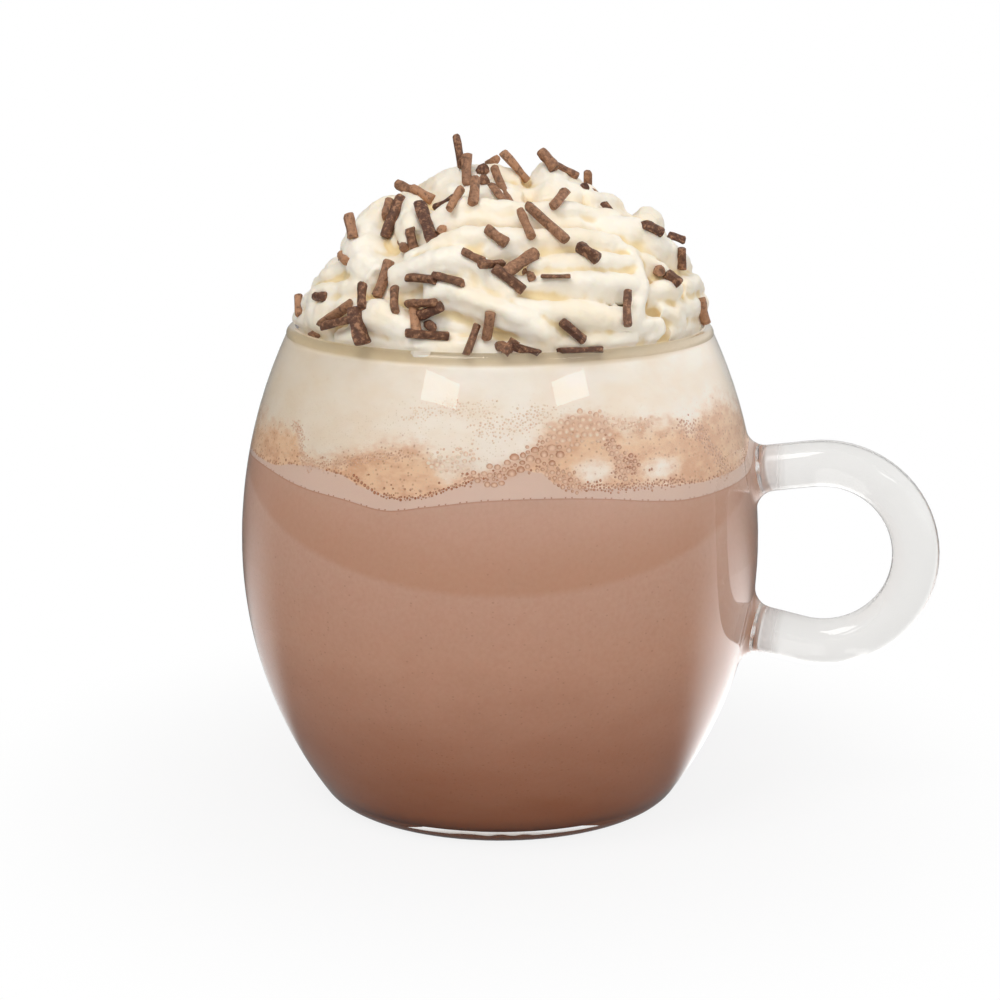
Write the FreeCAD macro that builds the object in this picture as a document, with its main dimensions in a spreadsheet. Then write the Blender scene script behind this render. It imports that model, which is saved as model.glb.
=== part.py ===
"""Caffe mocha in a round glass mug, under a piped dome of whipped cream.

The document holds four sub-parts, each one solid: the glass mug with its ring handle, the
drink, the layer of froth on it, and the whipped cream that fills the neck and stands above
the rim.  Millimetres, +Z up.  The origin is the centre of the mug's flat underside, and the
handle points along +X.
"""

import FreeCAD, Part
import math
import os

import Sketcher

Vector = FreeCAD.Vector

# Each driving size: its alias in the sheet, its value and what it is.
SIZES = [
    ("mug_height", 83.0, "underside to the top of the lip"),
    ("belly_radius", 45.0, "outside radius where the mug is widest"),
    ("belly_height", 44.4, "height of the widest place"),
    ("lower_arc_radius", 74.5, "outside curve of the side below the widest place"),
    ("upper_arc_radius", 86.0, "outside curve of the side above the widest place"),
    ("foot_corner_radius", 4.6, "rounding between the underside and the side"),
    ("wall", 2.2, "thickness of the glass at the side"),
    ("floor_thickness", 3.0, "thickness of the glass at the bottom"),
    ("inner_corner_radius", 6.0, "rounding inside, between floor and side"),
    ("lip_radius", 1.3, "half the thickness of the fire-rounded lip"),
    ("rod_diameter", 7.9, "thickness of the glass rod that makes the handle"),
    ("ring_radius", 15.7, "centreline of the handle's ring"),
    ("ring_standoff", 11.0, "centre of the ring outside the belly"),
    ("ring_lift", 0.3, "centre of the ring above the widest place"),
    ("upper_arm_slope", 8.0, "degrees, upper arm falling towards the body"),
    ("lower_arm_slope", 12.5, "degrees, lower arm rising towards the body"),
    ("root_depth", 5.0, "how far the arms start inside the belly radius"),
    ("root_fillet", 3.4, "glass drawn out where the arms meet the body"),
    ("fill_clearance", 0.05, "gap between the glass and what fills it"),
    ("layer_gap", 0.05, "gap between one layer and the next"),
    ("drink_below_rim", 22.8, "mean surface of the drink under the top of the lip"),
    ("froth_depth", 8.2, "mean thickness of the froth"),
    ("neck_gap", 0.6, "top of the cream that fills the neck, under the lip"),
    ("dome_clearance", 0.6, "gap between the lip and the piped cream"),
    ("dome_seat", 7.0, "depth of the piped cream under the top of the lip"),
    ("dome_rise", 26.8, "top of the piped cream above the top of the lip"),
    ("rope_turns", 3.0, "turns of the piped rope from the rim to the tip"),
    ("rope_groove", 4.4, "depth of the crease between two turns of the rope"),
    ("flute_count", 4.0, "flutes that the nozzle leaves across one rope"),
    ("flute_depth", 1.3, "depth of a flute"),
    ("tip_radius", 1.4, "small flat where the nozzle left the tip"),
]

# Waves of the two layer surfaces: how many round the mug, height at the wall in millimetres
# and phase in degrees, counted from +X.
DRINK_WAVES = [(1, 0.95, -146.0), (2, 0.25, -143.0), (3, 0.6, -132.0), (4, 0.45, 160.0), (5, 0.65, -17.0)]
FROTH_WAVES = [(1, 1.2, 170.0), (2, 1.3, -40.0), (3, 1.5, -140.0), (5, 1.1, -87.0), (6, 1.5, 40.0)]

LAYER_CELLS = 18        # patches along each side of a layer surface
DOME_COLUMNS = 48       # control points round the dome
DOME_ROWS = 60          # control points from the seat of the dome to its tip
SPLINE_DEGREE = 3
FLAT = 0.01             # an edge is level if it rises less than this
CREASE_SHARPNESS = 0.96  # 1 would make the rope's section a half circle
SEAT_FADE = 0.12        # share of the climb over which the rope grows out of the seat
TIP_FADE = 0.33         # share of the dome's radius over which the rope dies out at the tip


# ---------------------------------------------------------------- document and sketches

def make_sheet(doc):
    """Put every driving size in a spreadsheet, one alias each."""
    sheet = doc.addObject("Spreadsheet::Sheet", "sizes")
    for row, (alias, value, meaning) in enumerate(SIZES, start=1):
        sheet.set(f"A{row}", meaning)
        sheet.set(f"B{row}", str(value))
        sheet.setAlias(f"B{row}", alias)
    doc.recompute()
    return sheet


def make_body(doc, name):
    """New body whose label names its sub-part."""
    body = doc.addObject("PartDesign::Body", name)
    body.Label = name
    return body


def make_sketch(body, name, role):
    """Empty sketch on one of the body's own origin planes, such as YZ_Plane."""
    plane = next(feature for feature in body.Origin.OriginFeatures if feature.Role == role)
    sketch = body.newObject("Sketcher::SketchObject", name)
    sketch.AttachmentSupport = [(plane, "")]
    sketch.MapMode = "FlatFace"
    return sketch


def join_ends(sketch, ends):
    """Make each pair of curve ends in the list one point."""
    for first, second in zip(ends[0::2], ends[1::2]):
        sketch.addConstraint(Sketcher.Constraint("Coincident", *first, *second))


def drive(sketch, name, expression, kind, *where):
    """Add a dimension of this kind that follows an expression on the sheet."""
    value = sketch.evalExpression(expression)
    index = sketch.addConstraint(Sketcher.Constraint(kind, *where, float(value)))
    sketch.renameConstraint(index, name)
    sketch.setExpression(f"Constraints.{name}", expression)


def revolve(body, sketch, kind, name):
    """Turn a sketch a full turn about +Z, to add or to cut."""
    feature = body.newObject(f"PartDesign::{kind}", name)
    feature.Profile = sketch
    feature.ReferenceAxis = (sketch, ["V_Axis"])
    feature.Angle = 360.0
    body.Document.recompute()
    return feature


def round_edges(body, name, chosen, expression):
    """Fillet the edges of the body for which chosen(edge) holds."""
    base = body.Tip
    edges = [f"Edge{number}" for number, edge in enumerate(base.Shape.Edges, start=1) if chosen(edge)]
    fillet = body.newObject("PartDesign::Fillet", name)
    fillet.Base = (base, edges)
    fillet.setExpression("Radius", expression)
    body.Document.recompute()
    return fillet


def flat_circle_at(height):
    """Test for the level circular edge at this height."""
    def chosen(edge):
        box = edge.BoundBox
        return abs(box.ZMin - height) < FLAT and abs(box.ZMax - height) < FLAT and edge.isClosed()
    return chosen


# ---------------------------------------------------------------- the barrel's section

def side_radius(sheet, height, inset=0.0):
    """Radius of the barrel at a height, moved inwards by inset."""
    rise = height - sheet.belly_height
    arc = sheet.upper_arc_radius if rise > 0 else sheet.lower_arc_radius
    return sheet.belly_radius - arc + math.sqrt((arc - inset) ** 2 - rise ** 2)


def barrel_sketch(body, sheet, name, inset, bottom, top):
    """Half section of the barrel: level bottom and top, two arcs that meet at the belly.

    inset, bottom and top are expressions on the sheet.
    """
    sketch = make_sketch(body, name, "YZ_Plane")
    inward, base, crown = (float(sheet.evalExpression(text)) for text in (inset, bottom, top))
    belly = Vector(sheet.belly_radius - inward, sheet.belly_height, 0)
    low = Vector(side_radius(sheet, base, inward), base, 0)
    high = Vector(side_radius(sheet, crown, inward), crown, 0)

    def side_arc(radius, start, end):
        centre = belly - Vector(radius, 0, 0)
        angles = [math.atan2(point.y - centre.y, point.x - centre.x) for point in (start, end)]
        circle = Part.Circle(centre, Vector(0, 0, 1), radius)
        return sketch.addGeometry(Part.ArcOfCircle(circle, *angles))

    floor = sketch.addGeometry(Part.LineSegment(Vector(0, base, 0), low))
    lower = side_arc(sheet.lower_arc_radius - inward, low, belly)
    upper = side_arc(sheet.upper_arc_radius - inward, belly, high)
    roof = sketch.addGeometry(Part.LineSegment(high, Vector(0, crown, 0)))
    axis = sketch.addGeometry(Part.LineSegment(Vector(0, crown, 0), Vector(0, base, 0)))
    join_ends(sketch, [(floor, 2), (lower, 1), (lower, 2), (upper, 1), (upper, 2), (roof, 1),
                       (roof, 2), (axis, 1), (axis, 2), (floor, 1)])
    for line in (floor, roof):
        sketch.addConstraint(Sketcher.Constraint("Horizontal", line))
    for line in (floor, axis):
        sketch.addConstraint(Sketcher.Constraint("PointOnObject", line, 1, -2))

    drive(sketch, "lower_radius", f"sizes.lower_arc_radius - {inset}", "Radius", lower)
    drive(sketch, "upper_radius", f"sizes.upper_arc_radius - {inset}", "Radius", upper)
    drive(sketch, "lower_centre", "sizes.belly_height", "DistanceY", -1, 1, lower, 3)
    drive(sketch, "upper_centre", "sizes.belly_height", "DistanceY", -1, 1, upper, 3)
    drive(sketch, "belly_height", "sizes.belly_height", "DistanceY", -1, 1, lower, 2)
    drive(sketch, "belly_radius", f"sizes.belly_radius - {inset}", "DistanceX", -1, 1, lower, 2)
    drive(sketch, "bottom", bottom, "DistanceY", -1, 1, lower, 1)
    drive(sketch, "top", top, "DistanceY", -1, 1, upper, 2)
    return sketch


# ---------------------------------------------------------------- glass mug

def handle_path(body, sheet):
    """Centreline of the handle: upper arm, most of a ring, lower arm."""
    sketch = make_sketch(body, "handle_path", "XZ_Plane")
    centre = Vector(sheet.belly_radius + sheet.ring_standoff, sheet.belly_height + sheet.ring_lift, 0)
    upper_angle = math.radians(90.0 + sheet.upper_arm_slope)
    lower_angle = math.radians(270.0 - sheet.lower_arm_slope)
    start_x = sheet.belly_radius - sheet.root_depth

    def on_ring(angle):
        return centre + Vector(math.cos(angle), math.sin(angle), 0) * sheet.ring_radius

    def arm(touch, slope):
        root = Vector(start_x, touch.y - (touch.x - start_x) * math.tan(math.radians(slope)), 0)
        return sketch.addGeometry(Part.LineSegment(root, touch))

    upper = arm(on_ring(upper_angle), sheet.upper_arm_slope)
    circle = Part.Circle(centre, Vector(0, 0, 1), sheet.ring_radius)
    ring = sketch.addGeometry(Part.ArcOfCircle(circle, lower_angle, upper_angle + 2 * math.pi))
    lower = arm(on_ring(lower_angle), -sheet.lower_arm_slope)
    sketch.addConstraint(Sketcher.Constraint("Tangent", upper, 2, ring, 2))
    sketch.addConstraint(Sketcher.Constraint("Tangent", lower, 2, ring, 1))

    drive(sketch, "ring_radius", "sizes.ring_radius", "Radius", ring)
    drive(sketch, "ring_x", "sizes.belly_radius + sizes.ring_standoff", "DistanceX", -1, 1, ring, 3)
    drive(sketch, "ring_z", "sizes.belly_height + sizes.ring_lift", "DistanceY", -1, 1, ring, 3)
    drive(sketch, "upper_root", "sizes.belly_radius - sizes.root_depth", "DistanceX", -1, 1, upper, 1)
    drive(sketch, "lower_root", "sizes.belly_radius - sizes.root_depth", "DistanceX", -1, 1, lower, 1)
    drive(sketch, "upper_slope", "sizes.upper_arm_slope * 1deg", "Angle", upper)
    drive(sketch, "lower_slope", "sizes.lower_arm_slope * -1deg", "Angle", lower)
    return sketch, upper


def add_handle(body, sheet):
    """Sweep the round rod along the handle's centreline."""
    path, upper_arm = handle_path(body, sheet)
    body.Document.recompute()
    root = path.Geometry[upper_arm].StartPoint
    section = make_sketch(body, "handle_section", "YZ_Plane")
    section.AttachmentOffset = FreeCAD.Placement(
        Vector(0, root.y, root.x), FreeCAD.Rotation(Vector(1, 0, 0), -sheet.upper_arm_slope))
    rod = section.addGeometry(Part.Circle(Vector(0, 0, 0), Vector(0, 0, 1), sheet.rod_diameter / 2))
    section.addConstraint(Sketcher.Constraint("Coincident", rod, 3, -1, 1))
    drive(section, "rod_diameter", "sizes.rod_diameter", "Diameter", rod)
    handle = body.newObject("PartDesign::AdditivePipe", "handle")
    handle.Profile = section
    handle.Spine = path
    body.Document.recompute()


def is_root_edge(sheet):
    """Test for the edges where the handle's rod meets the outside of the barrel."""
    half_rod = sheet.rod_diameter / 2

    def chosen(edge):
        box = edge.BoundBox
        beside_rod = max(abs(box.YMin), abs(box.YMax)) < half_rod * 1.1
        on_side = box.XMax < sheet.belly_radius + 0.1 and box.XMin > sheet.belly_radius - sheet.root_depth
        return beside_rod and on_side and box.ZLength > half_rod
    return chosen


def make_mug(doc, sheet):
    """Blown glass mug: barrel, ring handle, hollow inside and a rounded lip."""
    body = make_body(doc, "mug")
    outline = barrel_sketch(body, sheet, "mug_outline", "0", "0", "sizes.mug_height - sizes.lip_radius")
    revolve(body, outline, "Revolution", "barrel")
    round_edges(body, "foot_corner", flat_circle_at(0.0), "sizes.foot_corner_radius")
    add_handle(body, sheet)
    round_edges(body, "handle_roots", is_root_edge(sheet), "sizes.root_fillet")

    solid_volume = body.Shape.Volume
    hollow = barrel_sketch(body, sheet, "mug_inside", "sizes.wall", "sizes.floor_thickness",
                           "sizes.mug_height")
    revolve(body, hollow, "Groove", "hollow")
    if body.Shape.Volume > 0.5 * solid_volume:
        raise RuntimeError("the hollow of the mug was not cut")
    round_edges(body, "inner_corner", flat_circle_at(sheet.floor_thickness), "sizes.inner_corner_radius")
    add_lip(body, sheet)
    return body


def add_lip(body, sheet):
    """Round bead at the top of the wall, centred on the wall's thickness."""
    sketch = make_sketch(body, "lip_section", "YZ_Plane")
    height = sheet.mug_height - sheet.lip_radius
    middle = side_radius(sheet, height, sheet.wall / 2)
    bead = sketch.addGeometry(Part.Circle(Vector(middle, height, 0), Vector(0, 0, 1), sheet.lip_radius))
    rise = "(sizes.mug_height - sizes.lip_radius - sizes.belly_height)"
    arc = "(sizes.upper_arc_radius - sizes.wall / 2)"
    drive(sketch, "bead_radius", "sizes.lip_radius", "Radius", bead)
    drive(sketch, "bead_height", "sizes.mug_height - sizes.lip_radius", "DistanceY", -1, 1, bead, 3)
    drive(sketch, "bead_centre", f"sizes.belly_radius - sizes.upper_arc_radius + sqrt({arc}^2 - {rise}^2)",
          "DistanceX", -1, 1, bead, 3)
    revolve(body, sketch, "Revolution", "lip")


# ---------------------------------------------------------------- what fills the mug

def make_filling(doc, sheet):
    """Everything inside the glass as one block, a small clearance off the wall."""
    body = make_body(doc, "filling")
    section = barrel_sketch(body, sheet, "filling_section", "(sizes.wall + sizes.fill_clearance)",
                            "sizes.floor_thickness + sizes.fill_clearance",
                            "sizes.mug_height - 2 * sizes.lip_radius - sizes.neck_gap")
    revolve(body, section, "Revolution", "filling_block")
    round_edges(body, "filling_corner", flat_circle_at(sheet.floor_thickness + sheet.fill_clearance),
                "sizes.inner_corner_radius - sizes.fill_clearance")
    return body


def wave_height(x, y, waves, wall_radius):
    """Height of a layer's surface above its mean level; the waves are full height at the wall."""
    reach = min(math.hypot(x, y) / wall_radius, 1.0)
    bearing = math.degrees(math.atan2(y, x))
    return sum(height * reach ** count * math.cos(math.radians(count * bearing - phase))
               for count, height, phase in waves)


def above_surface(doc, sheet, name, level, waves):
    """Block of everything above a wavy level surface."""
    half_side = sheet.belly_radius + sheet.wall
    step = 2 * half_side / LAYER_CELLS
    stops = [index * step - half_side for index in range(LAYER_CELLS + 1)]
    grid = [[Vector(x, y, level + wave_height(x, y, waves, sheet.belly_radius)) for y in stops] for x in stops]
    surface = Part.BSplineSurface()
    surface.interpolate(grid)
    block = doc.addObject("Part::Feature", name)
    block.Shape = surface.toShape().extrude(Vector(0, 0, sheet.mug_height))
    return block


def combine(doc, kind, name, base, tool):
    """Part boolean of two objects."""
    result = doc.addObject(f"Part::{kind}", name)
    result.Label = name
    result.Base = base
    result.Tool = tool
    return result


# ---------------------------------------------------------------- piped dome

def dome_radius(sheet):
    """Radius of the piped cream where it passes the lip."""
    lip_height = sheet.mug_height - sheet.lip_radius
    inside_lip = side_radius(sheet, lip_height, sheet.wall / 2) - sheet.lip_radius
    return inside_lip - sheet.dome_clearance


def dome_outline(sheet, climb):
    """Radius, height and outward normal of the dome's plain outline.

    climb runs from 0 at the seat, up a short straight side, over a quarter ellipse to 1.
    """
    radius = dome_radius(sheet)
    quarter = 0.5 * math.pi * math.sqrt((radius ** 2 + sheet.dome_rise ** 2) / 2)
    side_share = sheet.dome_seat / (sheet.dome_seat + quarter)
    if climb < side_share:
        height = sheet.mug_height - sheet.dome_seat * (1 - climb / side_share)
        return radius, height, (1.0, 0.0)
    angle = 0.5 * math.pi * (climb - side_share) / (1 - side_share)
    normal = (math.cos(angle) / radius, math.sin(angle) / sheet.dome_rise)
    length = math.hypot(*normal)
    height = sheet.mug_height + sheet.dome_rise * math.sin(angle)
    return radius * math.cos(angle), height, (normal[0] / length, normal[1] / length)


def rope_relief(sheet, turns):
    """Depth below the rope's crest, a number of turns of it across the dome."""
    across = 2 * (turns % 1.0) - 1
    crease = 1 - math.sqrt(1 - CREASE_SHARPNESS * across ** 2)
    flute = 0.5 - 0.5 * math.cos(2 * math.pi * sheet.flute_count * turns)
    return sheet.rope_groove * crease + sheet.flute_depth * flute * (1 - crease)


def dome_point(sheet, climb, bearing):
    """Point of the piped surface at a climb from 0 to 1 and a bearing in turns.

    The rope climbs clockwise seen from above.
    """
    radius, height, normal = dome_outline(sheet, climb)
    reach = (radius - sheet.tip_radius) / dome_radius(sheet)
    fade = min(max(reach, 0.0) / TIP_FADE, 1.0) * min(climb / SEAT_FADE, 1.0)
    depth = fade * rope_relief(sheet, sheet.rope_turns * climb + bearing)
    radius = max(radius - depth * normal[0], sheet.tip_radius)
    angle = 2 * math.pi * bearing
    return Vector(radius * math.cos(angle), radius * math.sin(angle), height - depth * normal[1])


def make_dome(doc, sheet):
    """Dome of one rope piped in a spiral from the rim to the tip."""
    poles = [[dome_point(sheet, row / (DOME_ROWS - 1), column / DOME_COLUMNS)
              for column in range(DOME_COLUMNS)] for row in range(DOME_ROWS)]
    row_knots = list(range(DOME_ROWS - SPLINE_DEGREE + 1))
    row_mults = [SPLINE_DEGREE + 1] + [1] * (len(row_knots) - 2) + [SPLINE_DEGREE + 1]
    column_knots = list(range(DOME_COLUMNS + 1))
    column_mults = [1] * len(column_knots)
    surface = Part.BSplineSurface()
    surface.buildFromPolesMultsKnots(poles, row_mults, column_mults, row_knots, column_knots,
                                     False, True, SPLINE_DEGREE, SPLINE_DEGREE)
    side = surface.toShape()
    rims = [edge for edge in side.Edges if edge.isClosed() and edge.BoundBox.ZLength < FLAT]
    caps = [Part.Face(Part.Wire([rim])) for rim in rims]
    shell = Part.Shell([side] + caps)
    shell.sewShape()
    dome = doc.addObject("Part::Feature", "dome")
    dome.Shape = Part.Solid(shell)
    return dome


# ---------------------------------------------------------------- layers

def make_layers(doc, sheet):
    """Drink, froth and cream, each cut from the filling along wavy surfaces."""
    filling = make_filling(doc, sheet)
    drink_level = sheet.mug_height - sheet.drink_below_rim
    froth_level = drink_level + sheet.froth_depth
    over_drink = above_surface(doc, sheet, "over_drink", drink_level, DRINK_WAVES)
    from_froth = above_surface(doc, sheet, "from_froth", drink_level + sheet.layer_gap, DRINK_WAVES)
    over_froth = above_surface(doc, sheet, "over_froth", froth_level, FROTH_WAVES)
    from_cream = above_surface(doc, sheet, "from_cream", froth_level + sheet.layer_gap, FROTH_WAVES)

    mocha = combine(doc, "Cut", "mocha", filling, over_drink)
    above_drink = combine(doc, "Common", "froth_and_cream", filling, from_froth)
    milk_foam = combine(doc, "Cut", "milk_foam", above_drink, over_froth)
    neck = combine(doc, "Common", "neck_cream", filling, from_cream)
    whipped_cream = combine(doc, "Fuse", "whipped_cream", neck, make_dome(doc, sheet))
    return [mocha, milk_foam, whipped_cream]


def check_document(doc, parts):
    """Stop if any object failed or any sub-part isn't one valid solid."""
    for item in doc.Objects:
        if "Invalid" in item.State or "Error" in item.State:
            raise RuntimeError(f"{item.Name} did not build: {item.State}")
    for part in parts:
        shape = part.Shape
        if shape.isNull() or not shape.isValid() or len(shape.Solids) != 1:
            raise RuntimeError(f"{part.Label} is not one valid solid")
        print(part.Label, "volume", round(shape.Volume / 1000, 2), "ml", shape.BoundBox)


def main():
    """Build the document and write each sub-part as a STEP file."""
    doc = FreeCAD.newDocument("caffe_mocha")
    sheet = make_sheet(doc)
    parts = [make_mug(doc, sheet)] + make_layers(doc, sheet)
    doc.recompute()
    check_document(doc, parts)
    os.makedirs("parts", exist_ok=True)
    for part in parts:
        part.Shape.exportStep(f"parts/{part.Label}.step")


main()
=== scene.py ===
"""Caffe mocha in a round glass mug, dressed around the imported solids.

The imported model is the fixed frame, in metres with +Z up and the handle along +X.  The glass
mug keeps its own mesh and gets a better finish.  The drink, the froth and the whipped cream
are modelled again here, with bubbles at the glass and chocolate sprinkles on the cream.
"""

import logging
import math
import random
from collections.abc import Callable
from dataclasses import dataclass, replace
from enum import Enum

import bpy
from mathutils import Matrix, Vector, noise
from mathutils.bvhtree import BVHTree


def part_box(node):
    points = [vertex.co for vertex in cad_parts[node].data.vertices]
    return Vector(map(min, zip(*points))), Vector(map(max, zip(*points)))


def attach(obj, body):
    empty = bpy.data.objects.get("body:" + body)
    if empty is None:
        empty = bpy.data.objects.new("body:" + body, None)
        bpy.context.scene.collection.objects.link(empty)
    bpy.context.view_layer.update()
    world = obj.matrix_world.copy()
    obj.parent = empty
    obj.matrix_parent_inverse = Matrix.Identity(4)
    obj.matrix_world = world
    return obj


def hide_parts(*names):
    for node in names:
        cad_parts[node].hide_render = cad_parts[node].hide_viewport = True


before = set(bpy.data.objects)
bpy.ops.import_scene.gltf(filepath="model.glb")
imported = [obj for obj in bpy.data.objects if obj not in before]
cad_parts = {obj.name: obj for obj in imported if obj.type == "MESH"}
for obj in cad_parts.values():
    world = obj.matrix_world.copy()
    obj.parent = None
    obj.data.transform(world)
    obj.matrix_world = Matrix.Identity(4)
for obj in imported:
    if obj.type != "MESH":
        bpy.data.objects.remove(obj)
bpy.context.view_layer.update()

MM = 0.001
MM_PER_DEGREE = 0.72  # width of one degree of bearing on the glass wall
LOG = logging.getLogger("caffe_mocha")

Line = Callable[[float], float]  # height of a line round the glass, by bearing
Ring = Callable[[float], tuple[float, float]]  # radius and height of a ring, by bearing


# ------------------------------------------------------------------ small helpers

def paint(code: str) -> tuple[float, float, float, float]:
    """Linear colour of a six-digit sRGB code.

    Args:
        code: Red, green and blue as two hexadecimal digits each.

    Returns:
        Red, green, blue and an alpha of 1, linear.
    """
    shares = [int(code[start:start + 2], 16) / 255 for start in (0, 2, 4)]
    linear = [share / 12.92 if share <= 0.04045 else ((share + 0.055) / 1.055) ** 2.4 for share in shares]
    return (*linear, 1.0)


def smooth_step(low: float, high: float, value: float) -> float:
    """Rise smoothly from 0 at low to 1 at high.

    Args:
        low: Value at which the rise starts.
        high: Value at which it ends.
        value: Where to read it.

    Returns:
        Share from 0 to 1.
    """
    share = min(max((value - low) / (high - low), 0.0), 1.0)
    return share * share * (3 - 2 * share)


def pick_only(piece: bpy.types.Object) -> None:
    """Select one object alone and make it the active one.

    Args:
        piece: The object to select.
    """
    bpy.ops.object.select_all(action="DESELECT")
    piece.select_set(True)
    bpy.context.view_layer.objects.active = piece


def join_pieces(pieces: list[bpy.types.Object], name: str) -> bpy.types.Object:
    """Join objects into one under a name.

    Args:
        pieces: The objects; the first takes in the rest.
        name: Name of the joined piece.

    Returns:
        The joined object.
    """
    pick_only(pieces[0])
    for piece in pieces:
        piece.select_set(True)
    bpy.ops.object.join()
    pieces[0].name = name
    pieces[0].data.name = name
    return pieces[0]


def settle(piece: bpy.types.Object) -> None:
    """Put an object's place, turn and size into its mesh.

    Args:
        piece: The object to settle.
    """
    pick_only(piece)
    bpy.ops.object.transform_apply(location=True, rotation=True, scale=True)


def finish_with(piece: bpy.types.Object, kind: str, **settings: object) -> None:
    """Add a modifier, set it and apply it.

    Args:
        piece: The object that gets it.
        kind: Type of the modifier.
        **settings: Its properties.
    """
    pick_only(piece)
    modifier = piece.modifiers.new(kind.title(), kind)
    for key, value in settings.items():
        setattr(modifier, key, value)
    bpy.ops.object.modifier_apply(modifier=modifier.name)


def face_outwards(piece: bpy.types.Object) -> None:
    """Merge doubled points and turn every face outwards.

    Args:
        piece: A closed mesh.
    """
    pick_only(piece)
    bpy.ops.object.mode_set(mode="EDIT")
    bpy.ops.mesh.select_all(action="SELECT")
    bpy.ops.mesh.remove_doubles(threshold=0.001 * MM)
    bpy.ops.mesh.normals_make_consistent(inside=False)
    bpy.ops.object.mode_set(mode="OBJECT")


def declare(piece: bpy.types.Object, slot: str, *nodes: str) -> None:
    """Ride a piece on the one body and hide the nodes that it stands for.

    Args:
        piece: A finished piece.
        slot: Not used.
        *nodes: Nodes that it replaces.
    """
    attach(piece, "root")
    if nodes:
        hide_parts(*nodes)
    LOG.info("%s: %d faces", piece.name, len(piece.data.polygons))


# ------------------------------------------------------------------ shader maths

class Channel:
    """One number over a surface, with arithmetic that adds Math nodes."""

    def __init__(self, graph: "Graph", socket: bpy.types.NodeSocket) -> None:
        """Wrap a socket.

        Args:
            graph: The material's graph.
            socket: An output socket that carries a number.
        """
        self.graph = graph
        self.socket = socket

    def maths(self, operation: str, *terms: object) -> "Channel":
        """Add one Math node.

        Args:
            operation: Name of the operation.
            *terms: Channels or numbers, in order.

        Returns:
            The result.
        """
        node = self.graph.node("ShaderNodeMath", {"operation": operation}, dict(enumerate(terms)))
        return Channel(self.graph, node.outputs[0])

    def __add__(self, other: object) -> "Channel":
        """Sum."""
        return self.maths("ADD", self, other)

    __radd__ = __add__

    def __sub__(self, other: object) -> "Channel":
        """Difference."""
        return self.maths("SUBTRACT", self, other)

    def __rsub__(self, other: object) -> "Channel":
        """Difference from a number."""
        return self.maths("SUBTRACT", other, self)

    def __mul__(self, other: object) -> "Channel":
        """Product."""
        return self.maths("MULTIPLY", self, other)

    __rmul__ = __mul__

    def __truediv__(self, other: object) -> "Channel":
        """Quotient."""
        return self.maths("DIVIDE", self, other)

    def __pow__(self, other: object) -> "Channel":
        """Power."""
        return self.maths("POWER", self, other)

    def highest(self, other: object) -> "Channel":
        """The larger of two."""
        return self.maths("MAXIMUM", self, other)

    def step(self, low: float, high: float) -> "Channel":
        """Rise smoothly from 0 to 1.

        Args:
            low: Value at which the rise starts.
            high: Value at which it ends; below low, the rise runs the other way.

        Returns:
            The share from 0 to 1.
        """
        node = self.graph.node(
            "ShaderNodeMapRange", {"interpolation_type": "SMOOTHSTEP"},
            {"Value": self, "From Min": low, "From Max": high, "To Min": 0.0, "To Max": 1.0})
        return Channel(self.graph, node.outputs["Result"])

    def step_mm(self, low: float, high: float) -> "Channel":
        """Same step between two lengths in millimetres."""
        return self.step(low * MM, high * MM)


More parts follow.
